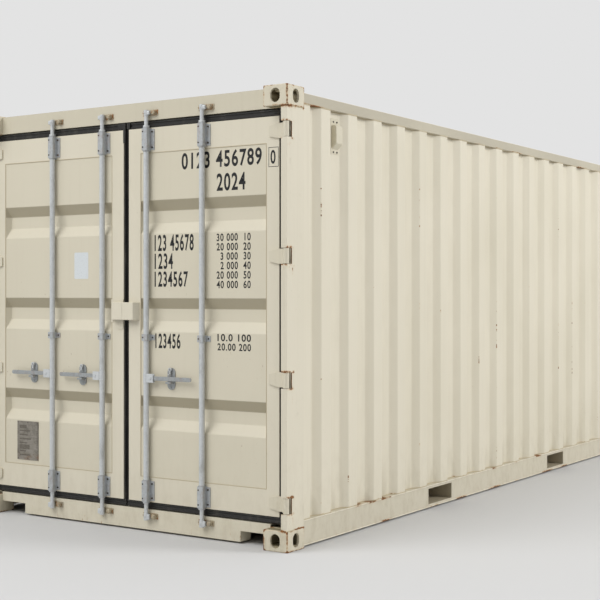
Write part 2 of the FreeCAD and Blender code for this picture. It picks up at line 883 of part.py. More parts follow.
def vent(x):
    """Air vent in a trough of the right-hand wall: a plate and a hood with a slanted underside."""
    y1 = side_floor
    top = top_rail_low - vent_drop
    plate = block(x - vent_w / 2, x + vent_w / 2, y1 - vent_plate, y1, top - vent_h, top)
    y0 = skin_recess
    high = top - vent_hood_drop
    low = high - vent_hood_h
    corners = [at(0, y1, low), at(0, y0, low + vent_hood_slant), at(0, y0, high), at(0, y1, high)]
    hood = Part.Face(Part.makePolygon(corners + corners[:1])).extrude(at(vent_hood_w, 0, 0))
    hood.translate(at(x - vent_hood_w / 2, 0, 0))
    return join(plate, hood)


def trough_middle(i):
    """Middle of the trough behind the i-th crest from the door end."""
    return wave_first_crest + i * wave_pitch + wave_crest + (wave_pitch - wave_crest) / 2


def save_leaf(side, to_side):
    save(f"door_{side}_frame", to_side(leaf_frame()))
    save(f"door_{side}_panel", to_side(leaf_panel()))
    save(f"door_{side}_seal", to_side(leaf_seal()))
    save(f"door_{side}_hinge_blades", *[to_side(s) for s in hinge_blades()])
    save(f"door_{side}_bar_straps", *[to_side(s) for s in bar_straps()])


def main():
    os.makedirs("parts", exist_ok=True)
    save_castings()
    post = door_post()
    save("door_post_right", post)
    save("door_post_left", mirrored(post))
    save("front_post_right", front_post())
    save("front_post_left", mirrored(front_post()))
    save("door_header", door_header())
    save("door_sill", door_sill())
    top, low = front_rails()
    save("front_top_rail", top)
    save("front_bottom_rail", low)
    save("top_side_rails", top_side_rail(), mirrored(top_side_rail()))
    for side, to_side in (("right", lambda s: s), ("left", mirrored)):
        save(f"bottom_side_rail_{side}", *[to_side(s) for s in bottom_side_rail()])
        save(f"fork_mouths_{side}", *[to_side(s) for s in fork_mouths()])
    save("side_wall_right", side_wall())
    save("side_wall_left", mirrored(side_wall()))
    save("front_wall", front_wall())
    save("roof", roof())
    save("floor_boards", *floor_boards())
    save("floor_beams", *floor_beams())
    save("fork_pockets", *fork_pockets())
    save("vents", vent(trough_middle(0)), mirrored(vent(trough_middle(wave_count - 2))))
    save("cam_keepers", *keepers())

    save_leaf("right", lambda s: s)
    save_leaf("left", mirrored)
    save("lock_box_right", lock_box_half())
    save("lock_box_left", join(mirrored(lock_box_half()), *lock_box_backing()))
    save("data_plate", data_plate())

    inner = middle - inner_bar
    outer = middle - outer_bar
    save("lock_bar_right_outer", lock_bar(outer, False))
    save("lock_bar_right_inner", lock_bar(inner, True))
    save("lock_bar_left_inner", mirrored(lock_bar(inner, True)))
    save("lock_bar_left_outer", mirrored(lock_bar(outer, True)))
    save("handle_keep_right", handle_keep(inner))
    save("handle_keeps_left", mirrored(handle_keep(inner)), mirrored(handle_keep(outer)))
    for name, y, to_side in (("right_inner", inner, lambda s: s), ("left_inner", inner, mirrored),
                             ("left_outer", outer, mirrored)):
        save(f"handle_{name}", to_side(handle(y)))
        save(f"catch_{name}", to_side(handle_catch(y)))


main()
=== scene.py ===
# %% [markdown]
# # A twenty-foot steel cargo container
# The container is built around a fixed frame: an exact model of every rail, post, door leaf and
# locking bar, already in its true place and in metres. This lesson gives it its looks. Some
# pieces of the frame stay and get a finish, and others are replaced by finer pieces that are
# modelled here: the pressed sheets, the locking gear, the seals and the small fittings.

# %% Load the frame
import json
import math
import bmesh
import bpy
from mathutils import Matrix, Vector


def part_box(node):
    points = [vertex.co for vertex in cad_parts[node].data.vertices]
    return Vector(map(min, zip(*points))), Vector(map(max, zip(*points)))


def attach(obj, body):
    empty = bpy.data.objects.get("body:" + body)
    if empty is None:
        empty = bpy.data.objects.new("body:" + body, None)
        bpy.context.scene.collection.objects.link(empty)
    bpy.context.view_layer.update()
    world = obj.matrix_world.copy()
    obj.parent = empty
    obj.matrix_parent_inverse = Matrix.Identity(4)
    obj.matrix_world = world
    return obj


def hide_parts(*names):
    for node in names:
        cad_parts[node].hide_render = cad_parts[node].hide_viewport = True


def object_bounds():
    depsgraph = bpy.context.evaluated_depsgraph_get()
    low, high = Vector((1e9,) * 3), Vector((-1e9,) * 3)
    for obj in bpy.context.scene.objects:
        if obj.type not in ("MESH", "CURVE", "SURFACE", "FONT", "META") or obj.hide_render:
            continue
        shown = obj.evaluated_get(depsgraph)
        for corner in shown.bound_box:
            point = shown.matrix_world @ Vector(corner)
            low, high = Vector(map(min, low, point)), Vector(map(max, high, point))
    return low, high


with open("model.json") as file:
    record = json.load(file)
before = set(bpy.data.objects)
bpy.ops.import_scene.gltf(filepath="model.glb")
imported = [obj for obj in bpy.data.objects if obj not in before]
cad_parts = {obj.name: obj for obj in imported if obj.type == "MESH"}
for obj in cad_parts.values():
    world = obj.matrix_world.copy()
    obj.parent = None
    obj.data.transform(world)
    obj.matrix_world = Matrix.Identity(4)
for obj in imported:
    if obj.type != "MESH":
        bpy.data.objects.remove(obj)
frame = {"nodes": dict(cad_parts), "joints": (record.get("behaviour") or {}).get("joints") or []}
cad_low, cad_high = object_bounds()
print("frame box", tuple(cad_low), tuple(cad_high))

# %% [markdown]
# ## Places
# Drawings of a container measure it in millimetres from one bottom corner, so this lesson does
# too: how far behind the door end, how far in from the right-hand side, and how high. One
# function turns such a place into metres in the frame.

# %% Places in millimetres
length = (cad_high.x - cad_low.x) * 1000
width = (cad_high.y - cad_low.y) * 1000
height = cad_high.z * 1000
middle = width / 2


def at(deep, inward, up):
    return Vector((cad_low.x + deep / 1000, cad_low.y + inward / 1000, up / 1000))


def span(node):
    """The lowest and highest corner of a frame piece, in the same millimetres."""
    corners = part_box(node)
    return [Vector(((c.x - cad_low.x) * 1000, (c.y - cad_low.y) * 1000, c.z * 1000)) for c in corners]


print("container", round(length), round(width), round(height), "mm")

# %% [markdown]
# ## Hand tools
# Every new piece starts as one of Blender's primitives and is then shaped in edit mode, as by
# hand. These few helpers do what a hand does between the operators: put everything down, pick
# up only the edges or faces that are wanted, and finish a piece with its place in its mesh.

# %% Helpers for modelling
def fresh():
    """Leaves edit mode and deselects everything."""
    if bpy.context.mode != "OBJECT":
        bpy.ops.object.mode_set(mode="OBJECT")
    bpy.ops.object.select_all(action="DESELECT")


def take(o):
    """Makes one object the only one selected."""
    fresh()
    o.select_set(True)
    bpy.context.view_layer.objects.active = o
    return o


def settle(name):
    """Gives the new primitive its name, and puts its place into its mesh."""
    o = bpy.context.object
    o.name = o.data.name = name
    bpy.ops.object.transform_apply(location=True, rotation=True, scale=True)
    return o


def block(name, low, high, soft=0.0):
    """A box between two corners in millimetres, with its edges rounded if it is soft."""
    low, high = at(*low), at(*high)
    fresh()
    bpy.ops.mesh.primitive_cube_add(size=1, location=(low + high) / 2)
    bpy.context.object.scale = [abs(high[i] - low[i]) for i in range(3)]
    o = settle(name)
    return rounded(o, soft) if soft else o


def tube(name, start, end, r, sides=32):
    """A round bar between two places, all in millimetres."""
    start, end = at(*start), at(*end)
    fresh()
    along = end - start
    bpy.ops.mesh.primitive_cylinder_add(
        vertices=sides, radius=r / 1000, depth=along.length, location=(start + end) / 2)
    bpy.context.object.rotation_mode = "QUATERNION"
    bpy.context.object.rotation_quaternion = along.to_track_quat("Z", "Y")
    return settle(name)


def line(name, points):
    """A run of edges, drawn corner by corner from one point."""
    fresh()
    bpy.ops.mesh.primitive_plane_add(size=0.01, location=points[0])
    bpy.ops.object.mode_set(mode="EDIT")
    bpy.ops.mesh.select_mode(type="VERT")
    bpy.ops.mesh.select_all(action="SELECT")
    bpy.ops.mesh.merge(type="CENTER")
    for start, end in zip(points, points[1:]):
        bpy.ops.mesh.extrude_region_move(TRANSFORM_OT_translate={"value": end - start})
    bpy.ops.object.mode_set(mode="OBJECT")
    return settle(name)


def edit(o, mode="EDGE"):
    """Goes into edit mode with nothing selected."""
    take(o)
    bpy.ops.object.mode_set(mode="EDIT")
    bpy.ops.mesh.select_mode(type=mode)
    bpy.ops.mesh.select_all(action="DESELECT")


def choose(o, rule):
    """Selects the edges or faces that pass the rule, and says how many."""
    mesh = bmesh.from_edit_mesh(o.data)
    parts = mesh.faces if bpy.context.tool_settings.mesh_select_mode[2] else mesh.edges
    for part in parts:
        part.select_set(False)
    chosen = [part for part in parts if rule(part)]
    for part in chosen:
        part.select_set(True)
    mesh.select_flush_mode()
    bmesh.update_edit_mesh(o.data)
    return len(chosen)


def drawn_out(o, step):
    """Pulls a line into a sheet, or a closed outline into a prism."""
    edit(o, "VERT")
    bpy.ops.mesh.select_all(action="SELECT")
    bpy.ops.mesh.extrude_region_move(TRANSFORM_OT_translate={"value": step})
    fresh()
    return o


def prism(name, outline, step):
    """A solid with the outline given by its corners."""
    o = line(name, outline)
    edit(o, "VERT")
    bpy.ops.mesh.select_all(action="SELECT")
    bpy.ops.mesh.edge_face_add()
    bpy.ops.mesh.extrude_region_move(TRANSFORM_OT_translate={"value": step})
    bpy.ops.mesh.select_all(action="SELECT")
    bpy.ops.mesh.normals_make_consistent(inside=False)
    fresh()
    return o


def bent(angle):
    """A rule for the edges whose two faces meet at more than this angle, in radians."""
    return lambda e: len(e.link_faces) == 2 and e.calc_face_angle(0) > angle


def going_in(e):
    """A rule for the edges of a box that run straight in from the door end."""
    return abs(e.verts[0].co.x - e.verts[1].co.x) > 1e-4


def rounded(o, r, rule=bent(0.5), steps=2):
    """Rounds the edges that pass the rule, r in millimetres."""
    edit(o)
    choose(o, rule)
    bpy.ops.mesh.bevel(offset=r / 1000, segments=steps, profile=0.5, affect="EDGES", clamp_overlap=True)
    fresh()
    return o


def facing(o, outward):
    """Turns a sheet's faces to one side, all together."""
    edit(o, "FACE")
    bpy.ops.mesh.select_all(action="SELECT")
    bpy.ops.mesh.normals_make_consistent(inside=False)
    bpy.ops.object.mode_set(mode="OBJECT")
    if sum((p.normal * p.area for p in o.data.polygons), Vector()).dot(Vector(outward)) < 0:
        edit(o, "FACE")
        bpy.ops.mesh.select_all(action="SELECT")
        bpy.ops.mesh.flip_normals()
    fresh()
    return o


def thickened(o, thick, offset=-1):
    """Gives a sheet its thickness in millimetres, behind its faces, and closes its rim."""
    take(o)
    wall = o.modifiers.new("wall", "SOLIDIFY")
    wall.thickness = thick / 1000
    wall.offset = offset
    bpy.ops.object.modifier_apply(modifier="wall")
    return o


def joined(name, *pieces):
    """Several pieces as one object."""
    take(pieces[0])
    for o in pieces:
        o.select_set(True)
    if len(pieces) > 1:
        bpy.ops.object.join()
    o = bpy.context.object
    o.name = o.data.name = name
    return o


def mirrored(o, name, axis=1):
    """A copy on the other side of the middle plane, with its faces turned right way out again."""
    c = o.copy()
    c.data = o.data.copy()
    bpy.context.collection.objects.link(c)
    c.name = c.data.name = name
    c.data.transform(Matrix.Scale(-1, 4, [float(i == axis) for i in range(3)]))
    c.data.flip_normals()
    return c


def smooth(o, degrees=35):
    """Shades curved faces smoothly, keeps sharp bends sharp, and lets large faces stay flat."""
    take(o)
    bpy.ops.object.shade_smooth_by_angle(angle=math.radians(degrees))
    weighted = o.modifiers.new("weighted", "WEIGHTED_NORMAL")
    weighted.keep_sharp = True
    bpy.ops.object.modifier_apply(modifier="weighted")
    fresh()
    return o

# %% [markdown]
# ## Colours and nodes
# Paint charts and screens give colours as sRGB hex, but Blender mixes light in linear values, so
# one function turns the first into the second. Another adds a node with its settings and links,
# and every finish below is built with it. A mask is a value from 0 to 1 that says where a coat
# shows. A Map Range node makes one from a measure, and one mask can be the top value of the next,
# which multiplies the two.

# %% Helpers for materials
def colour(text):
    """A linear colour from an sRGB hex value."""
    parts = [int(text[i:i + 2], 16) / 255 for i in (1, 3, 5)]
    return [p / 12.92 if p <= 0.04045 else ((p + 0.055) / 1.055) ** 2.4 for p in parts] + [1.0]


def node(mat, kind, inputs=(), out=0, **settings):
    """Adds a node and gives its output. Inputs are sockets or values, in order or by name."""
    n = mat.node_tree.nodes.new("ShaderNode" + kind)
    for key, value in settings.items():
        setattr(n, key, value)
    for key, value in (inputs.items() if isinstance(inputs, dict) else enumerate(inputs)):
        if isinstance(value, bpy.types.NodeSocket):
            mat.node_tree.links.new(value, n.inputs[key])
        else:
            n.inputs[key].default_value = value
    return n if out is None else n.outputs[out]


def material(name):
    """An empty material with its shader, its output and its Object coordinates."""
    mat = bpy.data.materials.new(name)
    mat.use_nodes = True
    mat.node_tree.nodes.clear()
    shader = node(mat, "BsdfPrincipled", out=None)
    node(mat, "OutputMaterial", {"Surface": shader.outputs["BSDF"]}, out=None)
    return mat, shader, node(mat, "TexCoord", out="Object")


def cloud(mat, place, size_mm, low=0.0, high=1.0, top=1.0, stretch=(1, 1, 1),
          detail=3.0, rough=0.55, shift=(0, 0, 0)):
    """A mask of noise blots about size_mm across, 0 where the noise is under low and top over high."""
    scaled = node(mat, "Mapping", {
        "Vector": place, "Location": shift, "Scale": [1000 / size_mm / s for s in stretch]})
    blots = node(mat, "TexNoise", {
        "Vector": scaled, "Scale": 1.0, "Detail": detail, "Roughness": rough}, out="Fac")
    return node(mat, "MapRange", (blots, low, high, 0.0, top), interpolation_type="SMOOTHSTEP")


def band(mat, value, edge, reach, under=0.0, top=1.0):
    """A mask that is top where value is at the edge and falls to under over reach metres."""
    gap = node(mat, "Math", (value, edge), operation="SUBTRACT")
    gap = node(mat, "Math", (gap,), operation="ABSOLUTE")
    return node(mat, "MapRange", (gap, reach, 0.0, under, top), interpolation_type="SMOOTHSTEP")


def within(mat, top, *limits):
    """The mask top, kept only where every value is past its limit. A limit is (value, none, full)."""
    for value, none, full in limits:
        top = node(mat, "MapRange", (value, none, full, 0.0, top), interpolation_type="SMOOTHSTEP")
    return top


def measures(mat, place):
    """How far a point is from the middle, along and across the container, and how high it is."""
    x, y, z = node(mat, "SeparateXYZ", (place,), out=None).outputs
    return [node(mat, "Math", (v,), operation="ABSOLUTE") for v in (x, y)] + [z]


def coats(mat, bottom, *layers):
    """A colour built up like paint: each layer is a hex colour or a socket, and its mask."""
    seen = bottom if isinstance(bottom, bpy.types.NodeSocket) else colour(bottom)
    for coat, mask in layers:
        coat = coat if isinstance(coat, bpy.types.NodeSocket) else colour(coat)
        seen = node(mat, "Mix", {0: mask, 6: seen, 7: coat}, out=2, data_type="RGBA")
    return seen


def finish_with(mat, shader, base, roughness, relief, strength, reach_mm):
    """Links colour, roughness and relief to the shader."""
    mat.node_tree.links.new(base, shader.inputs["Base Color"])
    mat.node_tree.links.new(roughness, shader.inputs["Roughness"])
    bump = node(mat, "Bump", {"Height": relief, "Strength": strength, "Distance": reach_mm / 1000})
    mat.node_tree.links.new(bump, shader.inputs["Normal"])
    return mat


print("material helpers ready")

# %% [markdown]
# ## Cream container paint
# Container steel is shot-blasted, primed and sprayed with a thick satin enamel. At a distance it
# is one even cream, but it is never clean: rain draws faint grey streaks down it, dust settles in
# the hollows, small chips let brown rust through, and rust creeps from edges and welds with a
# pale stain round it. All of that is one builder, because every painted piece wears in the same
# way and only the amounts differ. The builder also paints light and shade: shade on the upper
# faces of the door trays, along the lower edges of the hinge blades and as a darker base for the
# header, and a highlight as a lighter base for the rail lips.

# %% Cream paint
cream = "#d8d1be"
cream_dust = "#b5ab93"
# a dark brown coat for dirt, which also paints shade on the door trays and the hinge blades
cream_grime_and_shade = "#8f8468"
rust_dark = "#573822"
rust_light = "#946233"
rust_stain = "#bd9a6a"


def enamel(name, dust=0.5, chips=0.5, grime_and_shade_mask=None, rusty=None, base_hex=cream):
    """Cream enamel on steel. The two mask arguments are functions that give a mask for dirt and for rust; on
    the door trays and the hinge blades the dirt mask paints shade as well.
    """
    mat, shader, place = material(name)
    height_up = measures(mat, place)[2]
    tone = cloud(mat, place, 900, 0.35, 0.75, 0.35, detail=2.0)
    # rain streaks: narrow across, long from top to bottom
    streaks = cloud(mat, place, 34, 0.50, 0.85, dust * 0.45, (1, 1, 30), 4.0, shift=(3.1, 1.7, 0.4))
    # dust thrown up near the ground
    low = within(mat, dust, (height_up, 0.75, 0.05))
    spatter = cloud(mat, place, 60, 0.40, 0.75, low, (1, 1, 2), 6.0, 0.7)
    # dirt, and on the door trays and the hinge blades also painted shade, from the given mask
    grime_and_shade = grime_and_shade_mask(mat, place) if grime_and_shade_mask else cloud(mat, place, 70, 0.60, 0.90, dust * 0.5)
    # scuffs are drawn 25 mm long, because finer ones are too small to see
    scuffs = cloud(mat, place, 25, 0.68, 0.74, dust * 0.8, (2, 2, 1), 5.0, 0.75, (8.0, 2.0, 5.0))
    # chips through to rust, mostly 5 to 15 mm across, in loose groups
    group = cloud(mat, place, 420, 0.52, 0.64, chips, detail=2.0, shift=(5.0, 5.0, 1.0))
    chip = cloud(mat, place, 16, 0.69, 0.73, group, (1, 1, 1.6), 3.0, 0.6, (1.0, 9.0, 4.0))
    # rust creeps unevenly from where the mask is high, and stains the paint round it
    where = rusty(mat, place) if rusty else chip
    grit = cloud(mat, place, 20, detail=6.0, rough=0.7, shift=(0.7, 0.2, 0.9))
    creep = node(mat, "Math", (where, grit), operation="ADD")
    stain = within(mat, 0.55, (creep, 0.78, 1.30))
    core = within(mat, 1.0, (creep, 1.18, 1.34))
    rust = node(mat, "Math", (core, chip), operation="MAXIMUM")
    rust_tone = coats(mat, rust_dark, (rust_light, cloud(mat, place, 9, 0.38, 0.62, detail=5.0, rough=0.7)))
    base = coats(mat, base_hex, ("#cbc4ae", tone), (cream_dust, streaks), (cream_dust, spatter),
                 (cream_grime_and_shade, grime_and_shade), ("#a9a08b", scuffs), (rust_stain, stain), (rust_tone, rust))
    roughness = node(mat, "MapRange", (rust, 0.0, 1.0, 0.50, 0.88))
    # the spray's orange peel is about 3 mm, and rust lies a little lower than the paint
    peel = cloud(mat, place, 3, detail=1.0)
    relief = node(mat, "Math", (peel, rust), operation="SUBTRACT")
    return finish_with(mat, shader, base, roughness, relief, 0.08, 1.0)


print("paint builder ready")

# %% [markdown]
# ## The long walls
# A long wall is flat sheet pressed into upright waves: a flat crest, a slope, a flat trough and a
# slope back. The press leaves round bends, which catch the light as soft lines. The wall's plan
# is drawn as one line, its bends are rounded, and the line is pulled up to the height between the
# two rails. Thickness comes last, from a modifier.

# %% Wall sheets
wave_pitch, wave_crest, wave_slope = 308, 99, 54
first_crest, wave_depth = 385, 36
door_flat, door_slope = 260, 38
bend_r = 7
skin = 2.0


def wave_points(a0, a1, crest, trough):
    """The wall's plan from one post to the other: a flat by the doors, and then the waves."""
    points = [(a0, crest), (door_flat, crest), (door_flat + door_slope, trough)]
    start = first_crest
    while start + wave_crest + wave_slope < a1 - 140:
        points += [(start - wave_slope, trough), (start, crest),
                   (start + wave_crest, crest), (start + wave_crest + wave_slope, trough)]
        start += wave_pitch
    return points + [(start - wave_slope, trough), (start, crest), (a1, crest)]


def upright_sheet(name, points, z0, z1, outward, bends=bend_r):
    """A sheet with its plan given by corners, with round bends, pulled up from z0 to z1."""
    o = line(name, [at(a, b, z0) for a, b in points])
    edit(o, "VERT")
    bpy.ops.mesh.select_all(action="SELECT")
    bpy.ops.mesh.bevel(offset=bends / 1000, segments=3, affect="VERTICES", clamp_overlap=True)
    fresh()
    return facing(drawn_out(o, Vector((0, 0, (z1 - z0) / 1000))), outward)


low, high = span("side_wall_right")
wall_line = wave_points(low.x, high.x, low.y, low.y + wave_depth)
right_wall = thickened(upright_sheet("right_wall_sheet", wall_line, low.z, high.z, (0, -1, 0)), skin)
smooth(right_wall, 30)
left_wall = mirrored(right_wall, "left_wall_sheet")
print("wall corners", len(wall_line), "faces", len(right_wall.data.polygons))

# %% [markdown]
# ## The closed end
# The end wall is pressed deeper and wider than the long walls, from thicker plate, and its waves
# go inwards from the plane of the posts. It is made in the same way, with the line running
# across the container.

# %% End wall sheet
end_pitch, end_crest, end_slope, end_depth = 250, 80, 30, 45
low, high = span("front_wall")
waves = int((high.y - low.y - 60) // end_pitch)
start = middle - waves * end_pitch / 2
flat = (end_pitch - end_crest - 2 * end_slope) / 2
end_line = [(high.x, low.y)]
for i in range(waves):
    b = start + i * end_pitch + flat
    end_line += [(high.x, b), (high.x - end_depth, b + end_slope),
                 (high.x - end_depth, b + end_slope + end_crest), (high.x, b + 2 * end_slope + end_crest)]
end_line.append((high.x, high.y))
end_wall = thickened(upright_sheet("end_wall_sheet", end_line, low.z, high.z, (1, 0, 0), 9), skin)
smooth(end_wall, 30)
print("end wall waves", waves)

# %% [markdown]
# ## The door sheets
# Each door leaf is a welded frame of square tube with a pressed sheet let into it. The press
# pushes three long trays into the sheet, wide at the mouth and narrow at the floor, so the sheet
# stays stiff. Starting from a plane, each tray's rim is cut in with bisect, its face is pushed in
# by an extrude, and its floor is drawn together by scaling. Rounding the tray's edges comes last.

# %% Door sheets
tray_pitch, tray_mouth, tray_floor, tray_depth = 587, 202, 74, 36
tray_margin, tray_end_slope = 4, 17


def cut_across(o, point, normal):
    """Cuts every face along one plane."""
    bpy.ops.mesh.select_all(action="SELECT")
    bpy.ops.mesh.bisect(plane_co=point, plane_no=normal)


def door_sheet(name, node_name):
    """One leaf's pressed sheet with its three trays."""
    low, high = span(node_name)
    face = low.x
    fresh()
    bpy.ops.mesh.primitive_plane_add(
        size=1, location=at(face, (low.y + high.y) / 2, (low.z + high.z) / 2), rotation=(0, -math.pi / 2, 0))
    bpy.context.object.scale = ((high.z - low.z) / 1000, (high.y - low.y) / 1000, 1)
    o = settle(name)
    edit(o, "FACE")
    y0, y1 = low.y + tray_margin, high.y - tray_margin
    centres = [(low.z + high.z) / 2 + i * tray_pitch for i in (-1, 0, 1)]
    for b in (y0, y1):
        cut_across(o, at(face, b, 0), (0, 1, 0))
    for z in centres:
        for edge in (z - tray_mouth / 2, z + tray_mouth / 2):
            cut_across(o, at(face, 0, edge), (0, 0, 1))
    for z in centres:
        mid = at(face, (y0 + y1) / 2, z)
        bpy.ops.mesh.select_mode(type="FACE")
        choose(o, lambda f: (f.calc_center_median() - mid).length < 0.05)
        bpy.ops.mesh.extrude_region_move(TRANSFORM_OT_translate={"value": (tray_depth / 1000, 0, 0)})
        bpy.ops.transform.resize(value=(
            1, (y1 - y0 - 2 * tray_end_slope) / (y1 - y0), tray_floor / tray_mouth))
    # rim, sides and floor edges of the trays, but not the cuts that run on across the flat sheet
    bpy.ops.mesh.select_mode(type="EDGE")
    choose(o, bent(0.2))
    bpy.ops.mesh.bevel(offset=0.004, segments=3, affect="EDGES", clamp_overlap=True)
    fresh()
    return smooth(thickened(o, skin, -1), 30)


window_low, window_high = span("door_right_panel")
tray_heights = [(window_low.z + window_high.z) / 2000 + i * tray_pitch / 1000 for i in (-1, 0, 1)]
right_door_sheet = door_sheet("right_door_sheet", "door_right_panel")
left_door_sheet = door_sheet("left_door_sheet", "door_left_panel")
print("door sheet faces", len(right_door_sheet.data.polygons))

# %% [markdown]
# ## Locking bars
# A locking bar is a galvanised tube with a forged cam welded into each end. Turned by its
# handle, it swings the cams behind keepers on the header and the sill. Each bar is modelled from
# cylinders with rounded rims, on the axis of its own joint. The left-hand bars turn the other way
# from the right-hand ones, so the noses of their cams point the other way too.

# %% Bars with their cams
joint_place = {j["name"]: Vector(j["pos_m"]) for j in frame["joints"]}
bar_names = ("right_outer", "right_inner", "left_inner", "left_outer")
handled = ("right_inner", "left_inner", "left_outer")


def axis_of(bar):
    """Depth and distance in of a bar's axis, in millimetres."""
    p = joint_place[f"bar_{bar}_turn"]
    return (p.x - cad_low.x) * 1000, (p.y - cad_low.y) * 1000


def ring(name, a, b, z0, z1, r, soft=1.5, sides=32):
    """An upright cylinder with rounded rims."""
    o = tube(name, (a, b, z0), (a, b, z1), r, sides)
    return rounded(o, soft, bent(1.2))


def stud(name, a0, a1, b, z, r, sides=6, soft=0.8):
    """A bolt head or rivet that points at the reader."""
    o = tube(name, (a0, b, z), (a1, b, z), r, sides)
    return rounded(o, soft, bent(1.2))


bar_r, neck_r, cam_r = 17, 12.5, 15.5
low, high = span("lock_bar_right_outer")
leaf_low, leaf_high = span("door_right_frame")
axis_a = axis_of("right_outer")[0]
cam_top, cam_foot = high.z, low.z
bar_top, bar_foot = leaf_high.z + 3, leaf_low.z + 4


def cam(name, b, z0, z1, sign):
    """A forged boss with a nose on the side that swings outwards, and the bolt that holds it."""
    sides = sorted((b - sign * 29, b + sign * 13))
    nose = rounded(block(name, (axis_a - 11, sides[0], z0 + 5), (axis_a + 9, sides[1], z1 - 5)), 5, steps=3)
    boss = ring("boss", axis_a, b, z0, z1, cam_r, 2.5)
    pin = stud("pin", axis_a - cam_r - 3, axis_a, b + 2, (z0 + z1) / 2, 5.5)
    return joined(name, nose, boss, pin)


def plain_bar(name, b, sign):
    """A tube with a neck, a collar and a cam at each end."""
    pieces = [
        ring("tube", axis_a, b, bar_foot, bar_top, bar_r, 2, 40),
        ring("neck_top", axis_a, b, bar_top - 2, cam_top - 6, neck_r, 1),
        ring("neck_foot", axis_a, b, cam_foot + 6, bar_foot + 2, neck_r, 1),
        ring("collar_top", axis_a, b, bar_top - 4, bar_top + 9, 19.5, 2),
        ring("collar_foot", axis_a, b, bar_foot - 9, bar_foot + 4, 19.5, 2),
        cam("cam_top", b, cam_top - 34, cam_top, sign),
        cam("cam_foot", b, cam_foot, cam_foot + 42, sign),
    ]
    return joined(name, *pieces)


def hub(b, z, sign):
    """The handle's hinge on the bar: a collar, two ears and a headed pin."""
    reach = sign * 44
    pieces = [ring("hub", axis_a, b, z - 29, z + 29, 19, 3)]
    for a in (36, 50):
        sides = sorted((b - sign * 12, b - reach - sign * 20))
        pieces.append(block("ear", (a, sides[0], z - 26), (a + 4, sides[1], z + 26), 1.8))
    pieces.append(stud("pin", 32.5, 55, b - reach, z, 7.5, 20))
    return pieces


handle_z = joint_place["bar_right_inner_turn"].z * 1000
bars = {}
for bar in bar_names:
    b = axis_of(bar)[1]
    sign = 1 if "right" in bar else -1
    o = plain_bar(f"locking_bar_{bar}", b, sign)
    if bar in handled:
        o = joined(f"locking_bar_{bar}", o, *hub(b, handle_z, sign))
    bars[bar] = smooth(o, 40)
print("locking bars", [round(axis_of(b)[1]) for b in bar_names])

# %% [markdown]
# ## Bar brackets
# Each bar turns in brackets bolted to its leaf: a long one near each end and a short one in the
# middle. A bracket is pressed plate bent round the bar, with a flange to each side. Its bolt
# heads are hexagons with the corners taken off.

# %% Bar brackets
leaf_face = leaf_low.x
strap_low, strap_high = span("door_right_bar_straps")


def bracket(name, b, z0, z1, seat):
    """The galvanised plate of one bracket, and its dark bolt heads."""
    tall = z1 - z0 > 60
    hood = rounded(block(name, (axis_a - 21, b - 21.5, z0), (seat, b + 21.5, z1)), 6, lambda e: (
        abs(e.verts[0].co.z - e.verts[1].co.z) > 0.02 and e.verts[0].co.x < at(axis_a, 0, 0).x), 4)
    hood = rounded(hood, 1.2, bent(1.2))
    long_side = block("long_side", (seat - 5, b - 48, z0 + 4), (seat, b - 18, z1 - 4), 1.8)
    short_side = block("short_side", (seat - 5, b + 18, z0 + 4), (seat, b + 33, z1 - 4), 1.8)
    plates = [hood, long_side, short_side]
    heads = []
    if tall:
        bead = tube("bead", (seat - 5.5, b - 43, z0 + 16), (seat - 5.5, b - 43, z1 - 16), 3.2, 16)
        plates.append(bead)
        for z in (z0 - 7, z1 + 1):
            plates.append(ring("rim", axis_a, b, z, z + 6, 20.4, 1.2, 28))
        for z in (z0 + 20, z1 - 20):
            heads.append(stud("head", seat - 10, seat - 4, b - 32, z, 6))
            heads.append(stud("head", axis_a - 23.5, axis_a - 15, b + 11, z, 4.6, 12))
            heads.append(stud("head", seat - 9, seat - 4, b + 27, z, 4.5))
    else:
        heads.append(stud("head", seat - 9, seat - 4, b - 35, (z0 + z1) / 2, 5.5))
        heads.append(stud("head", axis_a - 23.5, axis_a - 15, b + 10, (z0 + z1) / 2, 4.6, 12))
    return joined(name, *plates), joined(name + "_bolts", *heads)


brackets = {}
for side, names in (("right", bar_names[:2]), ("left", bar_names[2:])):
    plates, heads = [], []
    for bar in names:
        b = axis_of(bar)[1]
        for z0, z1, seat in ((strap_low.z, strap_low.z + 126, leaf_face), (1148, 1188, leaf_face + 2),
                             (strap_high.z - 134, strap_high.z, leaf_face)):
            plate, head = bracket("plate", b, z0, z1, seat)
            plates.append(plate)
            heads.append(head)
    brackets[side] = (smooth(joined(f"bar_brackets_{side}", *plates), 40),
                      smooth(joined(f"bracket_bolts_{side}", *heads), 40))
print("bracket faces", len(brackets["right"][0].data.polygons))

# %% [markdown]
# ## Cam keepers
# The keepers are small forgings welded to the header and the sill. Their knobs take the push of
# the cams, so the paint is long gone from them and they are brown.

# %% Keepers
keeper_pieces = []
for bar in bar_names:
    b = axis_of(bar)[1]
    for z in (cam_top - 16, cam_foot + 25):
        plate = block("plate", (leaf_face - 4, b - 74, z - 17), (leaf_face, b + 38, z + 17), 1.5)
        knob = tube("knob", (leaf_face - 27, b - 50, z), (leaf_face - 2, b - 50, z), 15, 24)
        knob = rounded(knob, 6, bent(1.2), 3)
        foot = block("foot", (leaf_face - 20, b - 66, z - 10), (leaf_face - 2, b - 50, z + 10), 3)
        nub = stud("nub", leaf_face - 13, leaf_face - 2, b + 31, z, 6, 16, 1.5)
        keeper_pieces += [plate, knob, foot, nub]
cam_keepers = smooth(joined("cam_keeper_forgings", *keeper_pieces), 40)
print("keepers", len(keeper_pieces) // 4)

# %% [markdown]
# ## Handles, plates and catches
# Three bars have a handle: a flat lever hinged on the bar's hub, so that it can be lifted out of
# its keep before it is swung. It rests over an oval plate, where a small hinged finger hangs in
# front of it. The lever's edges are rounded, since a hand has to hold it.

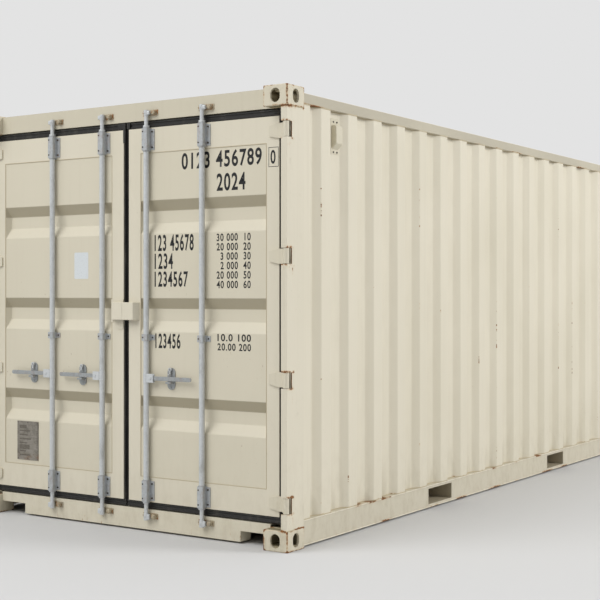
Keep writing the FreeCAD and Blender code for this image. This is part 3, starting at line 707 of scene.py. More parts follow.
# %% Handles
levers, oval_plates = {}, {}
for bar in handled:
    sign = 1 if "right" in bar else -1
    b = axis_of(bar)[1]
    low, high = span(f"handle_{bar}")
    grip = block("grip", low, high)
    grip = rounded(rounded(grip, 11.5, going_in, 5), 2.2, bent(1.2))
    levers[bar] = smooth(joined(f"lever_{bar}", grip), 40)
    keep_node = "handle_keep_right" if sign > 0 else "handle_keeps_left"
    keep_low, keep_high = span(keep_node)
    centre = b - sign * 176
    half, top, foot = 28.5, keep_high.z, keep_low.z
    plate = block("plate", (leaf_face - 4, centre - half, foot), (leaf_face + 2, centre + half, top))
    plate = rounded(rounded(plate, 27, going_in, 7), 1, bent(1.2))
    shelf_top = handle_z - 12.5 - 5
    shelf = block("shelf", (39, centre - 20, shelf_top - 12), (leaf_face, centre + 20, shelf_top), 2.5)
    pin_z = joint_place[f"catch_{bar}_swing"].z * 1000
    pin = stud("pin", keep_low.x if keep_low.x > 45 else 52.5, leaf_face, centre, pin_z, 5, 16)
    screws = [stud("screw", leaf_face - 7, leaf_face - 3, centre, z, 5.5, 6) for z in (foot + 12, top - 9)]
    oval_plates[bar] = smooth(joined(f"oval_plate_{bar}", plate, shelf, pin, *screws), 40)
print("levers", list(levers))

# %% [markdown]
# ## Padlock hood
# A welded steel hood covers the padlock that ties the two leaves together. It is folded plate,
# so its edges are slightly round. Each leaf carries one half, with a rim plate and a padlock tab
# beside it on the left-hand leaf.

# %% Padlock hood
box_low, box_high = span("lock_box_right")
seam = 0.8
hood_outline = [(box_high.x, box_low.y), (box_low.x, box_low.y + 24),
                (box_low.x, middle - seam), (box_high.x, middle - seam)]


def hood_half(name):
    """The right-hand half: a folded box, open towards the leaf and hollowed from below."""
    up = Vector((0, 0, (box_high.z - box_low.z) / 1000))
    o = prism(name, [at(a, b, box_low.z) for a, b in hood_outline], up)
    o = rounded(o, 3.5, lambda e: len(e.link_faces) == 2 and e.calc_face_angle(0) > 0.3 and (
        e.verts[0].co.x + e.verts[1].co.x < 2 * at(box_high.x - 1, 0, 0).x) and not (
        abs(e.verts[0].co.y - e.verts[1].co.y) < 1e-5 and e.verts[0].co.y > at(0, middle - 3, 0).y), 3)
    edit(o, "FACE")
    choose(o, lambda f: f.normal.z < -0.9)
    bpy.ops.mesh.inset(thickness=0.003)
    bpy.ops.mesh.extrude_region_move(TRANSFORM_OT_translate={"value": (0, 0, 0.1)})
    fresh()
    return o


hood_right = smooth(hood_half("padlock_hood_right"), 40)
hood_left = mirrored(hood_right, "padlock_hood_half")
rim_low, rim_high = span("lock_box_left")
rim = block("rim", (leaf_face - 4, middle + 103, box_low.z - 16), (leaf_face, rim_high.y, rim_high.z), 1.2)
cap = block("cap", (leaf_face - 4, rim_low.y + 18, box_high.z - 2),
            (leaf_face, middle + 106, rim_high.z), 1.2)
tab = block("tab", (leaf_face - 4, middle + 21, rim_low.z), (leaf_face, middle + 82, box_low.z + 1))
tab = rounded(tab, 14, lambda e: going_in(e) and e.verts[0].co.z < (rim_low.z + 5) / 1000, 4)
eye_b, eye_z = middle + 52, rim_low.z + 26
eye = tube("eye", (leaf_face - 4.6, eye_b, eye_z), (leaf_face - 3, eye_b, eye_z), 11, 24)
hood_left = smooth(joined("padlock_hood_left", hood_left, rim, cap, tab, eye), 40)
print("hood", round(box_low.z), round(box_high.z))

# %% [markdown]
# ## Door seals
# The seal is an extruded rubber section that runs all round a leaf: a thick body with two soft
# lips in front. Each of its four sides is drawn as a small profile and pulled along its edge.
# A flap of the same rubber covers the place where the two leaves' seals meet at the top.

# %% Seals
def seal_profile(outer, inner, front=82, back=128):
    """The section of the seal: depth, and distance across from its outer edge to its inner one."""
    stops = [(back, 0), (front + 1, 0), (front - 3, 0.12), (front - 3, 0.26), (front + 2, 0.36),
             (front + 2, 0.60), (front - 2, 0.70), (front - 2, 0.84), (front + 2, 1.0), (back, 1.0)]
    return [(a, outer + share * (inner - outer)) for a, share in stops]


def seal(name, node_name):
    """Two level strips over the whole width, and two upright ones between them."""
    low, high = span(node_name)
    across = Vector((0, (high.y - low.y) / 1000, 0))
    up = Vector((0, 0, (leaf_high.z - leaf_low.z) / 1000))
    strips = []
    for outer, inner in ((low.z, leaf_low.z), (high.z, leaf_high.z)):
        strips.append(prism("level", [at(a, low.y, z) for a, z in seal_profile(outer, inner)], across))
    for outer, inner in ((low.y, leaf_low.y), (high.y, leaf_high.y)):
        strips.append(prism("upright", [at(a, b, leaf_low.z) for a, b in seal_profile(outer, inner)], up))
    return joined(name, *strips)


def flap_piece(name, wide, z0, z1):
    """A flat strip of rubber at the inner edge of the right-hand seal, in front of its lips."""
    edge = span("door_right_seal")[1].y
    return block(name, (73, edge - wide, z0), (79, edge - 1, z1), 1.5)


seal_right = seal("door_seal_right", "door_right_seal")
seal_top = span("door_right_seal")[1].z
flap = flap_piece("flap", 62, leaf_high.z + 4, seal_top)
tongue = flap_piece("tongue", 19, leaf_high.z - 78, leaf_high.z + 6)
left_pieces = [mirrored(o, "seal_piece_left") for o in (seal_right, flap, tongue)]
seal_left = smooth(joined("door_seal_left", *left_pieces), 20)
flap_stub = flap_piece("flap_stub", 26, leaf_high.z + 4, seal_top)
seal_right = smooth(joined("door_seal_right", seal_right, flap_stub), 20)
for spare in (flap, tongue):
    bpy.data.objects.remove(spare)
print("seals", len(seal_left.data.polygons))

# %% [markdown]
# ## Data plate and vents
# The data plate is a sheet of aluminium riveted to the left-hand leaf. Its rows are only raised
# bars here, with nothing written on them. The vents are moulded hoods, screwed into a trough of
# the wall under the top rail, and let the damp air out under their slanted lower end.

# %% Data plate
low, high = span("data_plate")
plate = block("data_plate_sheet", low, high, 0.8)
row_sizes = ((60, 22), (93, 9), (75, 9), (99, 9), (66, 9), (87, 30), (54, 9), (91.5, 9))
rows = []
for i, (wide, tall) in enumerate(row_sizes):
    edge, z = high.y - 22, high.z - 36 - i * 26
    rows.append(block("row", (low.x - 0.7, edge - wide, z - tall / 2), (low.x + 0.5, edge, z + tall / 2)))
rivets = [stud("rivet", low.x - 2.4, low.x + 1, b, z, 4.2, 12, 1.2)
          for b in (low.y + 9, (low.y + high.y) / 2, high.y - 9) for z in (low.z + 9, high.z - 9)]
frame_strips = [block("edge", (low.x - 1.2, b - 2, low.z + 18), (low.x + 0.5, b + 2, high.z - 18))
                for b in (low.y + 12, high.y - 12)]
frame_strips += [block("edge", (low.x - 1.2, low.y + 10, z - 2), (low.x + 0.5, high.y - 10, z + 2))
                 for z in (low.z + 18, high.z - 18)]
data_plate = smooth(joined("riveted_data_plate", plate, *frame_strips), 35)
plate_rows = smooth(joined("data_plate_rows", *rows, *rivets), 35)

# %% Vents
vent_low, vent_high = span("vents")
vent_w, hood_w = 90, 72
vent_mid, far_mid = vent_low.x + vent_w / 2, vent_high.x - vent_w / 2


def vent(name, mid):
    """A base plate against the trough, with a hood that slants back at its lower end."""
    face, z0, z1 = 50, vent_low.z, vent_high.z
    base = block(name, (mid - vent_w / 2, face - 3, z0), (mid + vent_w / 2, face, z1), 1)
    profile = [(face, z1 - 185), (15.5, z1 - 149), (15.5, z1 - 52), (24, z1 - 41), (face, z1 - 40)]
    hood = prism("hood", [at(mid - hood_w / 2, b, z) for b, z in profile], Vector((hood_w / 1000, 0, 0)))
    hood = rounded(hood, 4, lambda e: len(e.link_faces) == 2 and e.calc_face_angle(0) > 0.35 and (
        e.verts[0].co.y + e.verts[1].co.y < 2 * at(0, face - 1, 0).y), 3)
    return joined(name, base, hood)


def vent_fixings(name, mid):
    """Four round screw heads, two above the hood and two below."""
    heads = [tube("screw", (mid + aside, 43, z), (mid + aside, 49, z), 5.5, 12)
             for aside in (-20, 20) for z in (vent_low.z + 12, vent_high.z - 20)]
    return joined(name, *[rounded(o, 1, bent(1.2)) for o in heads])


def near_and_far(name, maker):
    """One on the right-hand wall near the doors, and one on the left-hand wall at the far end."""
    near, far = maker("near", vent_mid), maker("far", far_mid)
    pair = joined(name, near, mirrored(far, "far_left"))
    bpy.data.objects.remove(far)
    return smooth(pair, 35)


vents = near_and_far("wall_vents", vent)
vent_screws = near_and_far("vent_screws", vent_fixings)
print("vents at", round(vent_mid), round(far_mid))

# %% [markdown]
# ## Weld beads and seams
# Everything here is welded, and the beads are what make steelwork look made. A thin bead follows
# the wall's waves along both rails, another runs round each door sheet, and short ones close the
# joints between posts and castings.

# %% Weld beads
low, high = span("side_wall_right")
beads = []
for z in (low.z - 1, high.z - 5):
    bead_line = wave_points(low.x, high.x, low.y - 2.5, low.y + wave_depth - 2.5)
    strip = thickened(upright_sheet("bead", bead_line, z, z + 6, (0, -1, 0)), 3.5)
    beads += [strip, mirrored(strip, "bead_left")]
wall_beads = smooth(joined("wall_weld_beads", *beads), 40)

post_beads = []
for z in (118, height - 118):
    for start, end, r in (((4, 3.5), (178, 3.5), 3), ((3.5, 4), (3.5, 44), 3), ((74, 44), (74, 160), 2.5)):
        post_beads.append(tube("bead", (*start, z), (*end, z), r, 8))
corner = joined("corner", *post_beads)
corner_left = mirrored(corner, "corner_left")
front_line = [mirrored(o, "corner_front", axis=0) for o in (corner, corner_left)]
post_welds = smooth(joined("post_weld_beads", corner, corner_left, *front_line), 40)


def window_bead(name):
    """A bead round the opening that a door sheet is welded into."""
    r, a = 2.2, 75.6
    y0, y1, z0, z1 = window_low.y + 1, window_high.y - 1, window_low.z + 1, window_high.z - 1
    sides = [tube("bead", (a, y0, z), (a, y1, z), r, 8) for z in (z0, z1)]
    sides += [tube("bead", (a, y, z0), (a, y, z1), r, 8) for y in (y0, y1)]
    return joined(name, *sides)


seams_right = smooth(window_bead("door_seam_right"), 40)
seams_left = mirrored(seams_right, "door_seam_left")
print("beads", len(wall_beads.data.polygons), len(post_welds.data.polygons))

# %% [markdown]
# ## Rail lips
# The bottom rail is a channel with its flanges outwards, so two thin lips catch the light: a
# ledge that the wall's waves stand on, and a second one at the foot. Their paint is a lighter
# cream than the rail's, a painted highlight along them.

# %% Rail lips
rail_low, rail_high = span("bottom_side_rail_right")
lips = [block("lip", (rail_low.x + 1, rail_low.y - 6, z0), (rail_high.x - 1, rail_low.y + 1, z1), 1.5)
        for z0, z1 in ((rail_low.z, rail_low.z + 6), (rail_high.z - 6, rail_high.z))]
rail_lips = joined("bottom_rail_lips", *lips, *[mirrored(o, "lip_left") for o in lips])
rail_lips = smooth(rail_lips, 40)
print("rail lips", [round(v, 1) for v in rail_low], [round(v, 1) for v in rail_high])

# %% [markdown]
# ## Plain numbers
# Containers carry painted figures on the right-hand leaf. Here they are plain numbers with no
# meaning, in a narrow face. Each is a text object turned into a mesh and laid 0.3 mm proud of the
# steel, as a vinyl letter is.

# %% Numbers
def number(text, b_left, z_low, tall, wide, face):
    """Plain figures whose left edge, as read, is b_left and whose foot is z_low."""
    fresh()
    bpy.ops.object.text_add()
    o = bpy.context.object
    o.data.body = text
    o.data.extrude = 0.0
    o.data.space_character = 1.15
    o.data.offset = 0.022
    bpy.ops.object.convert(target="MESH")
    o = bpy.context.object
    xs = [v.co.x for v in o.data.vertices]
    ys = [v.co.y for v in o.data.vertices]
    sx = wide / 1000 / (max(xs) - min(xs))
    sy = tall / 1000 / (max(ys) - min(ys))
    place = at(face, b_left, z_low)
    o.data.transform(Matrix.Translation((-min(xs), -min(ys), 0)))
    o.data.transform(Matrix.Diagonal((sx, sy, 1, 1)))
    turned = Matrix(((0, 0, -1, place.x), (-1, 0, 0, place.y), (0, 1, 0, place.z), (0, 0, 0, 1)))
    o.data.transform(turned)
    return o


panel_face, frame_face = leaf_face + 1.7, leaf_face - 0.3
large_figures = (("0123 456789", 794, 2161, 99, 572), ("2024", 538, 2024, 102, 204),
                 ("123 45678", 999, 1683, 100, 294), ("1234", 999, 1577, 94, 140),
                 ("1234567", 999, 1470, 94, 252), ("123456", 993, 1104, 90, 190))
figures = [number(*row, panel_face) for row in large_figures]
small_rows = ("30 000  10", "20 000  20", "3 000  30", "2 000  40", "20 000  50", "40 000  60")
for i, text in enumerate(small_rows):
    inset = 28 if len(text) == 9 else 0
    figures.append(number(text, 538 - inset, 1734 - i * 54.5, 44, 240 - inset, panel_face))
for i, text in enumerate(("10.0 100", "20.00 200")):
    figures.append(number(text, 532, 1156 - i * 54, 42, 236, panel_face))
panel_figures = joined("plain_numbers_panel", *figures)
check_figure = number("0", 161, 2160, 78, 34, frame_face)
edges = []
for b0, b1, z0, z1 in ((174, 171, 2143, 2254), (109, 106, 2143, 2254),
                       (174, 106, 2143, 2146), (174, 106, 2251, 2254)):
    edges.append(block("edge", (leaf_face - 0.4, b1, z0), (leaf_face - 0.1, b0, z1)))
frame_figures = joined("plain_number_boxed", check_figure, *edges)
print("figures", len(panel_figures.data.polygons))

# %% Blank sticker
sticker = block("blank_sticker", (leaf_face + 1.5, 1529, 1523), (leaf_face + 1.9, 1645, 1688))
sticker = rounded(sticker, 6, going_in, 3)
print("sticker corners", len(sticker.data.polygons))

# %% [markdown]
# ## Where rust, dirt and painted shade go
# Rust starts where the enamel is thin or knocked: on the sharp edges of the castings, at the
# hinge notches, along the rails and on the bends of the waves. Grime stays at the foot of each
# trough and inside the castings. Shade is painted on the upper faces of the door trays and along
# the lower edges of the hinge blades. These masks are worked out from a point's place on the
# container, so they stay where they belong on every piece.

# %% Masks for the castings
half_l, half_w, top_z = length / 2000, width / 2000, height / 1000
casting_l, casting_w, casting_h = 0.178, 0.162, 0.118


def casting_rust(mat, place):
    """A casting's edges: there, two of the three measures are near a face."""
    x, y, z = measures(mat, place)
    near = cloud(mat, place, 60, 0.30, 0.70, 0.8, shift=(2.0, 7.0, 3.0))
    for value, faces in ((x, (half_l, half_l - casting_l)), (y, (half_w, half_w - casting_w)),
                         (z, (0.0, top_z, casting_h, top_z - casting_h))):
        for face in faces:
            near = node(mat, "Math", (near, band(mat, value, face, 0.017)), operation="ADD")
    return within(mat, 0.9, (near, 1.25, 2.75))


def casting_grime(mat, place):
    """Castings are brown inside, where no spray gun reaches."""
    x, y, z = measures(mat, place)
    inside = within(mat, 1.0, (x, half_l - 0.006, half_l - 0.020), (y, half_w - 0.006, half_w - 0.020),
                    (x, half_l - casting_l + 0.003, half_l - casting_l + 0.010),
                    (y, half_w - casting_w + 0.003, half_w - casting_w + 0.010), (z, 0.006, 0.02),
                    (z, top_z - 0.006, top_z - 0.02))
    joint = band(mat, z, top_z / 2, top_z / 2 - casting_h + 0.004, 1.0, 0.0)
    return node(mat, "Math", (inside, joint), operation="MULTIPLY")


# %% Masks for posts, header, sill and rails
hinge_levels = sorted({round(v.co.z, 3) for v in frame["nodes"]["door_right_hinge_blades"].data.vertices})
hinge_ends = []
for z in hinge_levels:
    if not hinge_ends or z - hinge_ends[-1][0] > 0.12:
        hinge_ends.append([z, z])
    hinge_ends[-1][1] = z
hinge_heights = [sum(ends) / 2 for ends in hinge_ends]
print("hinges at", [round(h, 3) for h in hinge_heights])


def post_rust(mat, place):
    """Round the hinge notches, in the runs under them, and at the joints with the castings."""
    x, y, z = measures(mat, place)
    marks = 0.0
    for mid in hinge_heights:
        for edge in (mid + 0.047, mid - 0.047):
            marks = band(mat, z, edge, 0.022, marks, 0.95)
    run = cloud(mat, place, 11, 0.52, 0.66, 0.75, (1, 1, 12))
    for mid in hinge_heights:
        under = within(mat, run, (z, mid - 0.19, mid - 0.06), (z, mid - 0.04, mid - 0.05))
        marks = node(mat, "Math", (marks, under), operation="MAXIMUM")
    marks = within(mat, marks, (y, half_w - 0.080, half_w - 0.064), (x, half_l - 0.10, half_l - 0.07))
    patchy = cloud(mat, place, 60, 0.30, 0.62)
    marks = node(mat, "Math", (marks, patchy), operation="MULTIPLY")
    for mid in hinge_heights:
        notch = within(mat, band(mat, z, mid, 0.30, 0.0, 1.0),
                       (z, mid - 0.052, mid - 0.046), (z, mid + 0.052, mid + 0.046),
                       (x, half_l - 0.004, half_l - 0.012), (y, half_w - 0.003, half_w - 0.006),
                       (x, half_l - 0.085, half_l - 0.065), (y, half_w - 0.085, half_w - 0.065))
        marks = node(mat, "Math", (marks, notch), operation="MAXIMUM")
    joint = band(mat, z, casting_h, 0.016, band(mat, z, top_z - casting_h, 0.030), 1.0)
    joint = cloud(mat, place, 70, 0.34, 0.58, joint, shift=(2, 2, 2))
    return node(mat, "Math", (marks, joint), operation="MAXIMUM")


def blade_dirt_and_shadow(mat, place):
    """A dark line along the upper and lower edges of each hinge blade: dirt along the upper edge, painted
    shadow along the lower one.
    """
    z = measures(mat, place)[2]
    edges = 0.0
    for mid in hinge_heights:
        for edge in (mid - 0.047, mid + 0.047):
            edges = band(mat, z, edge, 0.007, edges, 1.0)
    return edges


def rail_rust(mat, place):
    """In stretches along the bottom rail's two edges and the top rail's lower edge."""
    z = measures(mat, place)[2]
    edges = band(mat, z, 0.154, 0.022, band(mat, z, 0.011, 0.018, band(mat, z, 2.502, 0.012)), 1.0)
    return cloud(mat, place, 330, 0.50, 0.66, edges, shift=(6.2, 0.0, 0.0))


def beam_rust(mat, place):
    """In stretches along the header's top edge and the sill's lower edges."""
    x, y, z = measures(mat, place)
    edges = band(mat, z, 2.586, 0.020, band(mat, z, 0.012, 0.016, band(mat, z, 0.075, 0.008)), 1.0)
    edges = within(mat, edges, (x, half_l - 0.060, half_l - 0.030))
    edges = cloud(mat, place, 300, 0.45, 0.60, edges, (1, 2, 1), shift=(0.0, 3.3, 0.0))
    runs = cloud(mat, place, 13, 0.60, 0.72, within(mat, 0.9, (z, 0.10, 0.02)), (1, 1, 8))
    return node(mat, "Math", (edges, runs), operation="MAXIMUM")


def beam_grime(mat, place):
    """A dirty line where the header's top edge is turned over."""
    return band(mat, measures(mat, place)[2], 2.590, 0.009, 0.0, 0.95)


# %% Masks for the walls
def wall_grime(mat, place):
    """At the foot of the troughs, and as a faint veil in the rest of them."""
    x, y, z = measures(mat, place)
    veil = node(mat, "MapRange", (z, 0.15, 0.40, 0.30, 0.05), interpolation_type="SMOOTHSTEP")
    veil = within(mat, veil, (y, half_w - 0.018, half_w - 0.046))
    return cloud(mat, place, 70, 0.35, 0.70, veil, (1, 1, 3), 4.0)


def tray_painted_shade(mat, place):
    """Painted shade on the upper faces of a door's trays, which face downwards."""
    z = measures(mat, place)[2]
    marks = 0.0
    for mid in tray_heights:
        rise = node(mat, "Math", (z, mid), operation="SUBTRACT")
        face = within(mat, 0.62, (rise, tray_floor / 2000 - 0.003, tray_floor / 2000 + 0.003),
                      (rise, tray_mouth / 2000 + 0.002, tray_mouth / 2000 - 0.003))
        marks = node(mat, "Math", (marks, face), operation="MAXIMUM")
    return marks


def wall_rust(mat, place):
    """Short upright dashes on the bends of a few waves, where the walls get rubbed."""
    x, y, z = node(mat, "SeparateXYZ", (place,), out=None).outputs
    along = node(mat, "Math", (x, cad_low.x + (first_crest - 2) / 1000), operation="SUBTRACT")
    from_bend = node(mat, "Math", (along, wave_pitch / 2000), operation="PINGPONG")
    dash = cloud(mat, place, 24, 0.54, 0.62, 1.0, (30, 30, 2.5), 5.0, 0.8, (0.3, 0.0, 2.2))
    some = cloud(mat, place, 560, 0.52, 0.64, dash, (1, 1, 1.3), 1.0, 0.5, (2.9, 0.0, 7.0))
    bends = within(mat, some, (from_bend, 0.008, 0.002), (z, 2.3, 2.1))
    foot = band(mat, z, 0.158, 0.016, 0.0, 0.8)
    foot = cloud(mat, place, 90, 0.52, 0.66, foot, detail=4.0)
    return node(mat, "Math", (bends, foot), operation="MAXIMUM")


print("rust masks ready")

# %% Painted finishes
wall_paint = enamel("cream_enamel_walls", 0.25, 0.15, wall_grime, wall_rust)
end_paint = enamel("cream_enamel_end", 0.5, 0.4)
door_paint = enamel("cream_enamel_doors", 0.22, 0.2)
# the door sheets' upper tray faces are darkened by the tray mask: painted shade
sheet_paint = enamel("cream_enamel_door_sheets", 0.22, 0.45, tray_painted_shade, None, "#d2cbb7")
frame_paint = enamel("cream_enamel_frame", 0.4, 1.0, None, post_rust, "#d6cfbc")
beam_paint = enamel("cream_enamel_beams", 0.4, 0.5, None, beam_rust, "#d6cfbb")
# the header's base is a darker cream than the doors': painted shade, against the stronger light that falls
# on it
header_paint_with_shade = enamel("cream_enamel_header", 0.4, 0.5, beam_grime, beam_rust, "#c8c1ad")
top_rail_paint = enamel("cream_enamel_top_rails", 0.5, 0.4, None, rail_rust, "#b3ac99")
rail_paint = enamel("cream_enamel_rails", 0.6, 0.5, None, rail_rust, "#cac3b0")
# the lips get a lighter base than the rail they belong to: a painted highlight along them
lip_paint_with_highlight = enamel("cream_enamel_lips", 0.5, 0.5, None, rail_rust, "#e2dccb")
casting_paint = enamel("cream_enamel_castings", 0.8, 0.8, casting_grime, casting_rust, "#d0c8b3")
weld_paint = enamel("cream_enamel_welds", 0.8, 0.6, None, post_rust, "#b7a98a")
hood_paint = enamel("cream_enamel_hood", 0.5, 0.6)
# the hinge blades' edge lines are dirt along the upper edge and painted shadow along the lower one
blade_paint = enamel("cream_enamel_hinges", 0.8, 1.0, blade_dirt_and_shadow, None, "#d2cbb7")
pocket_paint = enamel("cream_enamel_pockets", 1.0, 1.0, None, None, "#a89d86")
vent_plastic = enamel("moulded_vent_plastic", 0.4, 0.1, base_hex="#cec7b2")

# %% [markdown]
# ## Galvanised steel
# The bars, brackets and handles are dipped in molten zinc, which sets in pale crystals about
# 12 mm across and dulls to a grey bloom. That is a half metallic shader with a cell pattern in
# its colour. The bolts are blackened steel and the keepers bare forgings, which wear the same
# way in darker and browner colours.

# %% Galvanised steel
def worn_metal(name, pale, deep, metallic, rusted):
    """Bare or zinc-coated steel. rusted is how much of it has a brown stain."""
    mat, shader, place = material(name)
    shader.inputs["Metallic"].default_value = metallic
    crystal_mm = 12
    scaled = node(mat, "Mapping", {"Vector": place, "Scale": [1000 / crystal_mm] * 3})
    cells = node(mat, "TexVoronoi", {"Vector": scaled, "Scale": 1.0}, out="Color")
    crystal = node(mat, "SeparateColor", (cells,))
    bloom = cloud(mat, place, 60, 0.50, 0.80, 0.6, (1, 1, 3), 5.0, 0.65)
    stain = cloud(mat, place, 22, 0.50, 0.62, rusted, (1, 1, 2), 5.0, 0.7)
    half = node(mat, "Math", (crystal, 0.45), operation="MULTIPLY")
    base = coats(mat, pale, (deep, half), ("#90918c", bloom), (rust_light, stain))
    roughness = node(mat, "MapRange", (bloom, 0.0, 0.6, 0.46, 0.66))
    return finish_with(mat, shader, base, roughness, crystal, 0.05, 0.3)


zinc = worn_metal("hot_dip_zinc", "#d0d3d4", "#bcc0c2", 0.3, 0.0)
zinc_gear = worn_metal("hot_dip_zinc_gear", "#bbbfc1", "#9ea3a6", 0.35, 0.2)
zinc_lever = worn_metal("rubbed_zinc_levers", "#a6aaab", "#8d9294", 0.35, 0.2)
bolt_steel = worn_metal("blackened_bolt_steel", "#4c4a45", "#383632", 0.6, 0.3)
forging = worn_metal("worn_keeper_forging", "#b3a88f", "#7d6c53", 0.2, 1.0)

# %% [markdown]
# ## Rubber, plywood, wax, plate and vinyl
# The seal is EPDM rubber, dull and nearly black, with pale dust on its lips. The floor is
# tropical plywood with brown veneer grain that runs along the container. Under it, the beams are
# sprayed with dark bitumen wax. The data plate is brushed aluminium gone grey, and the figures
# and the blank sticker are vinyl, which crazes slightly as it ages.

# %% Rubber and plywood
rubber, shader, place = material("epdm_rubber")
dusty = cloud(rubber, place, 40, 0.48, 0.80, 0.6, (1, 1, 4), 5.0, 0.7)
base = coats(rubber, "#1f1e1c", ("#55514a", dusty))
roughness = node(rubber, "MapRange", (dusty, 0.0, 0.6, 0.40, 0.66))
finish_with(rubber, shader, base, roughness, cloud(rubber, place, 5, detail=2.0), 0.06, 0.5)

plywood, shader, place = material("tropical_plywood")
grain = cloud(plywood, place, 9, 0.32, 0.68, 1.0, (40, 1, 1), 6.0, 0.65)
patch = cloud(plywood, place, 300, 0.50, 0.80, 0.6, (2, 1, 1))
base = coats(plywood, "#7a5636", ("#a67c50", grain), ("#4c3a29", patch))
roughness = node(plywood, "MapRange", (patch, 0.0, 0.6, 0.45, 0.72))
finish_with(plywood, shader, base, roughness, grain, 0.12, 0.6)

# %% Underfloor wax and data plate
underfloor, shader, place = material("bitumen_wax")
mud = cloud(underfloor, place, 120, 0.42, 0.75, 1.0, detail=5.0, rough=0.65)
base = coats(underfloor, "#35322d", ("#6b6355", mud))
roughness = node(underfloor, "MapRange", (mud, 0.0, 1.0, 0.55, 0.85))
finish_with(underfloor, shader, base, roughness, mud, 0.2, 2.0)

plate_metal, shader, place = material("weathered_aluminium_plate")
shader.inputs["Metallic"].default_value = 0.3
brush = cloud(plate_metal, place, 2, 0.35, 0.65, 1.0, (1, 30, 1))
smear = cloud(plate_metal, place, 55, 0.46, 0.72, 0.8, detail=5.0, rough=0.7)
foot = within(plate_metal, smear, (measures(plate_metal, place)[2], 0.41, 0.36))
base = coats(plate_metal, "#837d72", ("#979289", brush), ("#656056", smear), (rust_light, foot))
roughness = node(plate_metal, "MapRange", (smear, 0.0, 0.8, 0.40, 0.62))
finish_with(plate_metal, shader, base, roughness, brush, 0.06, 0.3)


# %% Vinyl
def vinyl(name, main, worn, start):
    """Vinyl film. Its cracks show where the noise is over start."""
    mat, shader, place = material(name)
    craze = cloud(mat, place, 7, start, start + 0.12, 0.7, detail=5.0, rough=0.75)
    roughness = node(mat, "MapRange", (craze, 0.0, 0.7, 0.40, 0.55))
    return finish_with(mat, shader, coats(mat, main, (worn, craze)), roughness, craze, 0.03, 0.2)


black_vinyl = vinyl("black_vinyl_figures", "#121315", "#5a574f", 0.62)
white_vinyl = vinyl("pale_vinyl_sticker", "#d3d8da", "#bcc0c0", 0.54)
plate_ink = vinyl("dark_plate_enamel", "#5d574d", "#7b756a", 0.48)
print("materials", len(bpy.data.materials))

# %% [markdown]
# ## Putting it all together
# Each finished piece now gets its finish and rides on the body that carries it, and the frame
# pieces that it stands for are hidden. Frame pieces that stay only get a finish.

# %% Finish the new pieces
def keep(o, body, slot, mat, *replaced):
    """Gives a piece its finish, its body and a material slot, and names what it replaces. The slot argument
    is not used.
    """
    o.data.materials.clear()
    o.data.materials.append(mat)
    for face in o.data.polygons:
        face.material_index = 0
    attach(o, body)
    if replaced:
        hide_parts(*replaced)


keep(right_wall, "root", "cream_paint", wall_paint, "side_wall_right")
keep(left_wall, "root", "cream_paint", wall_paint, "side_wall_left")
keep(end_wall, "root", "cream_paint", end_paint, "front_wall")
keep(wall_beads, "root", "cream_paint", weld_paint)
keep(post_welds, "root", "cream_paint", weld_paint)
keep(rail_lips, "root", "cream_paint", lip_paint_with_highlight)
keep(cam_keepers, "root", "galvanised_gear", forging, "cam_keepers")
keep(vents, "root", "vent_plastic", vent_plastic, "vents")
keep(vent_screws, "root", "vent_plastic", bolt_steel)
for side, sheet, seal_piece, beads in (("right", right_door_sheet, seal_right, seams_right),
                                       ("left", left_door_sheet, seal_left, seams_left)):
    body = f"door_{side}"
    keep(sheet, body, "cream_paint", sheet_paint, f"door_{side}_panel")
    keep(seal_piece, body, "seal_rubber", rubber, f"door_{side}_seal")
    keep(beads, body, "cream_paint", weld_paint)
    keep(brackets[side][0], body, "galvanised_gear", zinc_gear, f"door_{side}_bar_straps")
    keep(brackets[side][1], body, "galvanised_gear", bolt_steel)
for bar in bar_names:
    keep(bars[bar], f"bar_{bar}", "galvanised_gear", zinc, f"lock_bar_{bar}")
for bar in handled:
    keep(levers[bar], f"lever_{bar}", "galvanised_gear", zinc_lever, f"handle_{bar}")
keep(oval_plates["right_inner"], "door_right", "galvanised_gear", zinc_lever, "handle_keep_right")
left_plates = joined("oval_plates_left", oval_plates["left_inner"], oval_plates["left_outer"])
keep(left_plates, "door_left", "galvanised_gear", zinc_lever, "handle_keeps_left")
keep(hood_right, "door_right", "cream_paint", hood_paint, "lock_box_right")
keep(hood_left, "door_left", "cream_paint", hood_paint, "lock_box_left")
keep(data_plate, "door_left", "plate_metal", plate_metal, "data_plate")
keep(plate_rows, "door_left", "plate_metal", plate_ink)
keep(panel_figures, "door_right", "cream_paint", black_vinyl)
keep(frame_figures, "door_right", "cream_paint", black_vinyl)
keep(sticker, "door_left", "cream_paint", white_vinyl)

# %% Finish the frame pieces that stay
finishes = (("casting", casting_paint), ("door_post", frame_paint), ("front_post", frame_paint),
            ("door_header", header_paint_with_shade), ("door_sill", beam_paint), ("front_", beam_paint),
            ("top_side", top_rail_paint), ("bottom_side", rail_paint), ("fork_mouths", rail_paint),
            ("fork_pockets", pocket_paint), ("floor_beams", underfloor), ("floor_boards", plywood),
            ("door_right_hinge", blade_paint), ("door_left_hinge", blade_paint),
            ("door_", door_paint), ("handle_", zinc_gear), ("catch_", zinc), ("roof", end_paint))
for name, o in frame["nodes"].items():
    mat = next((m for start, m in finishes if name.startswith(start)), wall_paint)
    for slot in o.material_slots:
        slot.material = mat
print("finished", len(frame["nodes"]), "frame pieces")

# %% [markdown]
# ## Stage, light and camera
# The floor is plain and pale. A studio dome gives an even pale background, darker overhead behind
# the reader and brighter to the sides, and two large soft lights do the rest: a high one to the
# left for the doors, which sinks the trays' upper faces into shade, and one to the right for the
# long wall. The camera stands at eye height, off the right-hand corner of the doors.

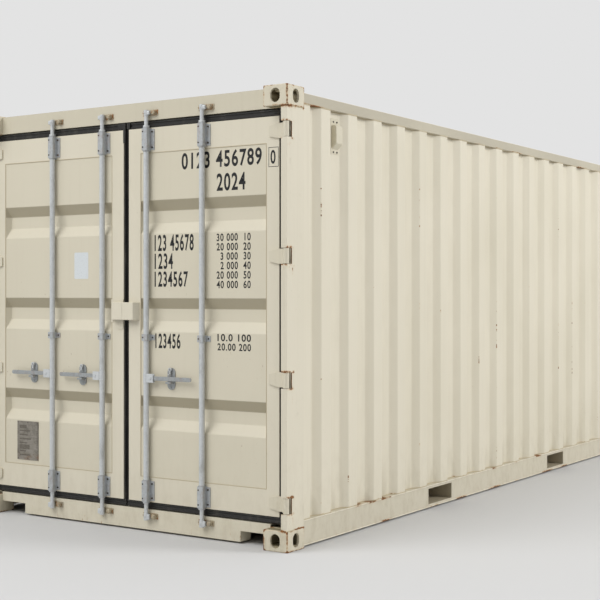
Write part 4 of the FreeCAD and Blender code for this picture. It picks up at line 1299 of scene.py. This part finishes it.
# %% Floor and dome
fresh()
bpy.ops.mesh.primitive_plane_add(size=120, location=(0, 0, 0))
floor = settle("studio_floor")
floor_mat, floor_shader = material("studio_floor_paint")[:2]
floor_shader.inputs["Base Color"].default_value = colour("#c8c8c8")
floor_shader.inputs["Roughness"].default_value = 0.9
floor.data.materials.append(floor_mat)

bpy.context.scene.view_settings.view_transform = "Standard"
world = bpy.data.worlds.new("studio_dome")
bpy.context.scene.world = world
world.use_nodes = True
background = world.node_tree.nodes["Background"]
background.inputs["Strength"].default_value = 1.0
ahead = node(world, "TexCoord", out="Generated")
toward = node(world, "VectorMath", (ahead, (0.83, 0.56, 0.0)), out="Value", operation="DOT_PRODUCT")
shade = node(world, "MapRange", (toward, -0.2, 0.6, 0.0, 1.0), interpolation_type="SMOOTHSTEP")
dome = node(world, "Mix", {0: shade, 6: colour("#bcbcbc"), 7: colour("#e3e3e3")}, out=2, data_type="RGBA")
world.node_tree.links.new(dome, background.inputs["Color"])


# %% Lights
def soft_light(name, place, aim, size, power):
    """A round soft light, size metres across, turned towards a place."""
    fresh()
    bpy.ops.object.light_add(type="AREA", location=place)
    light = bpy.context.object
    light.name = name
    light.data.shape = "DISK"
    light.data.size = size
    light.data.energy = power
    light.rotation_mode = "QUATERNION"
    light.rotation_quaternion = (Vector(aim) - Vector(place)).to_track_quat("-Z", "Y")


soft_light("door_light", (-12.5, 4.0, 12.5), (-3.0, 0, 1.2), 12.0, 1550)
soft_light("wall_light", (4.0, -15.0, 9.0), (0.0, -1.2, 1.2), 7.0, 1590)

# %% Camera
fresh()
# the camera looks level, 34 degrees off the container's long side, and its lens is shifted a little
bpy.ops.object.camera_add(
    location=(-8.886, -5.039, 1.433), rotation=(math.pi / 2, 0, math.radians(34.115 - 90)))
camera = bpy.context.object
camera.name = "studio_camera"
camera.data.sensor_width = 36
camera.data.lens = 76.236
camera.data.shift_x = 0.058333333
camera.data.shift_y = -0.01125
camera.data.clip_end = 500
bpy.context.scene.camera = camera
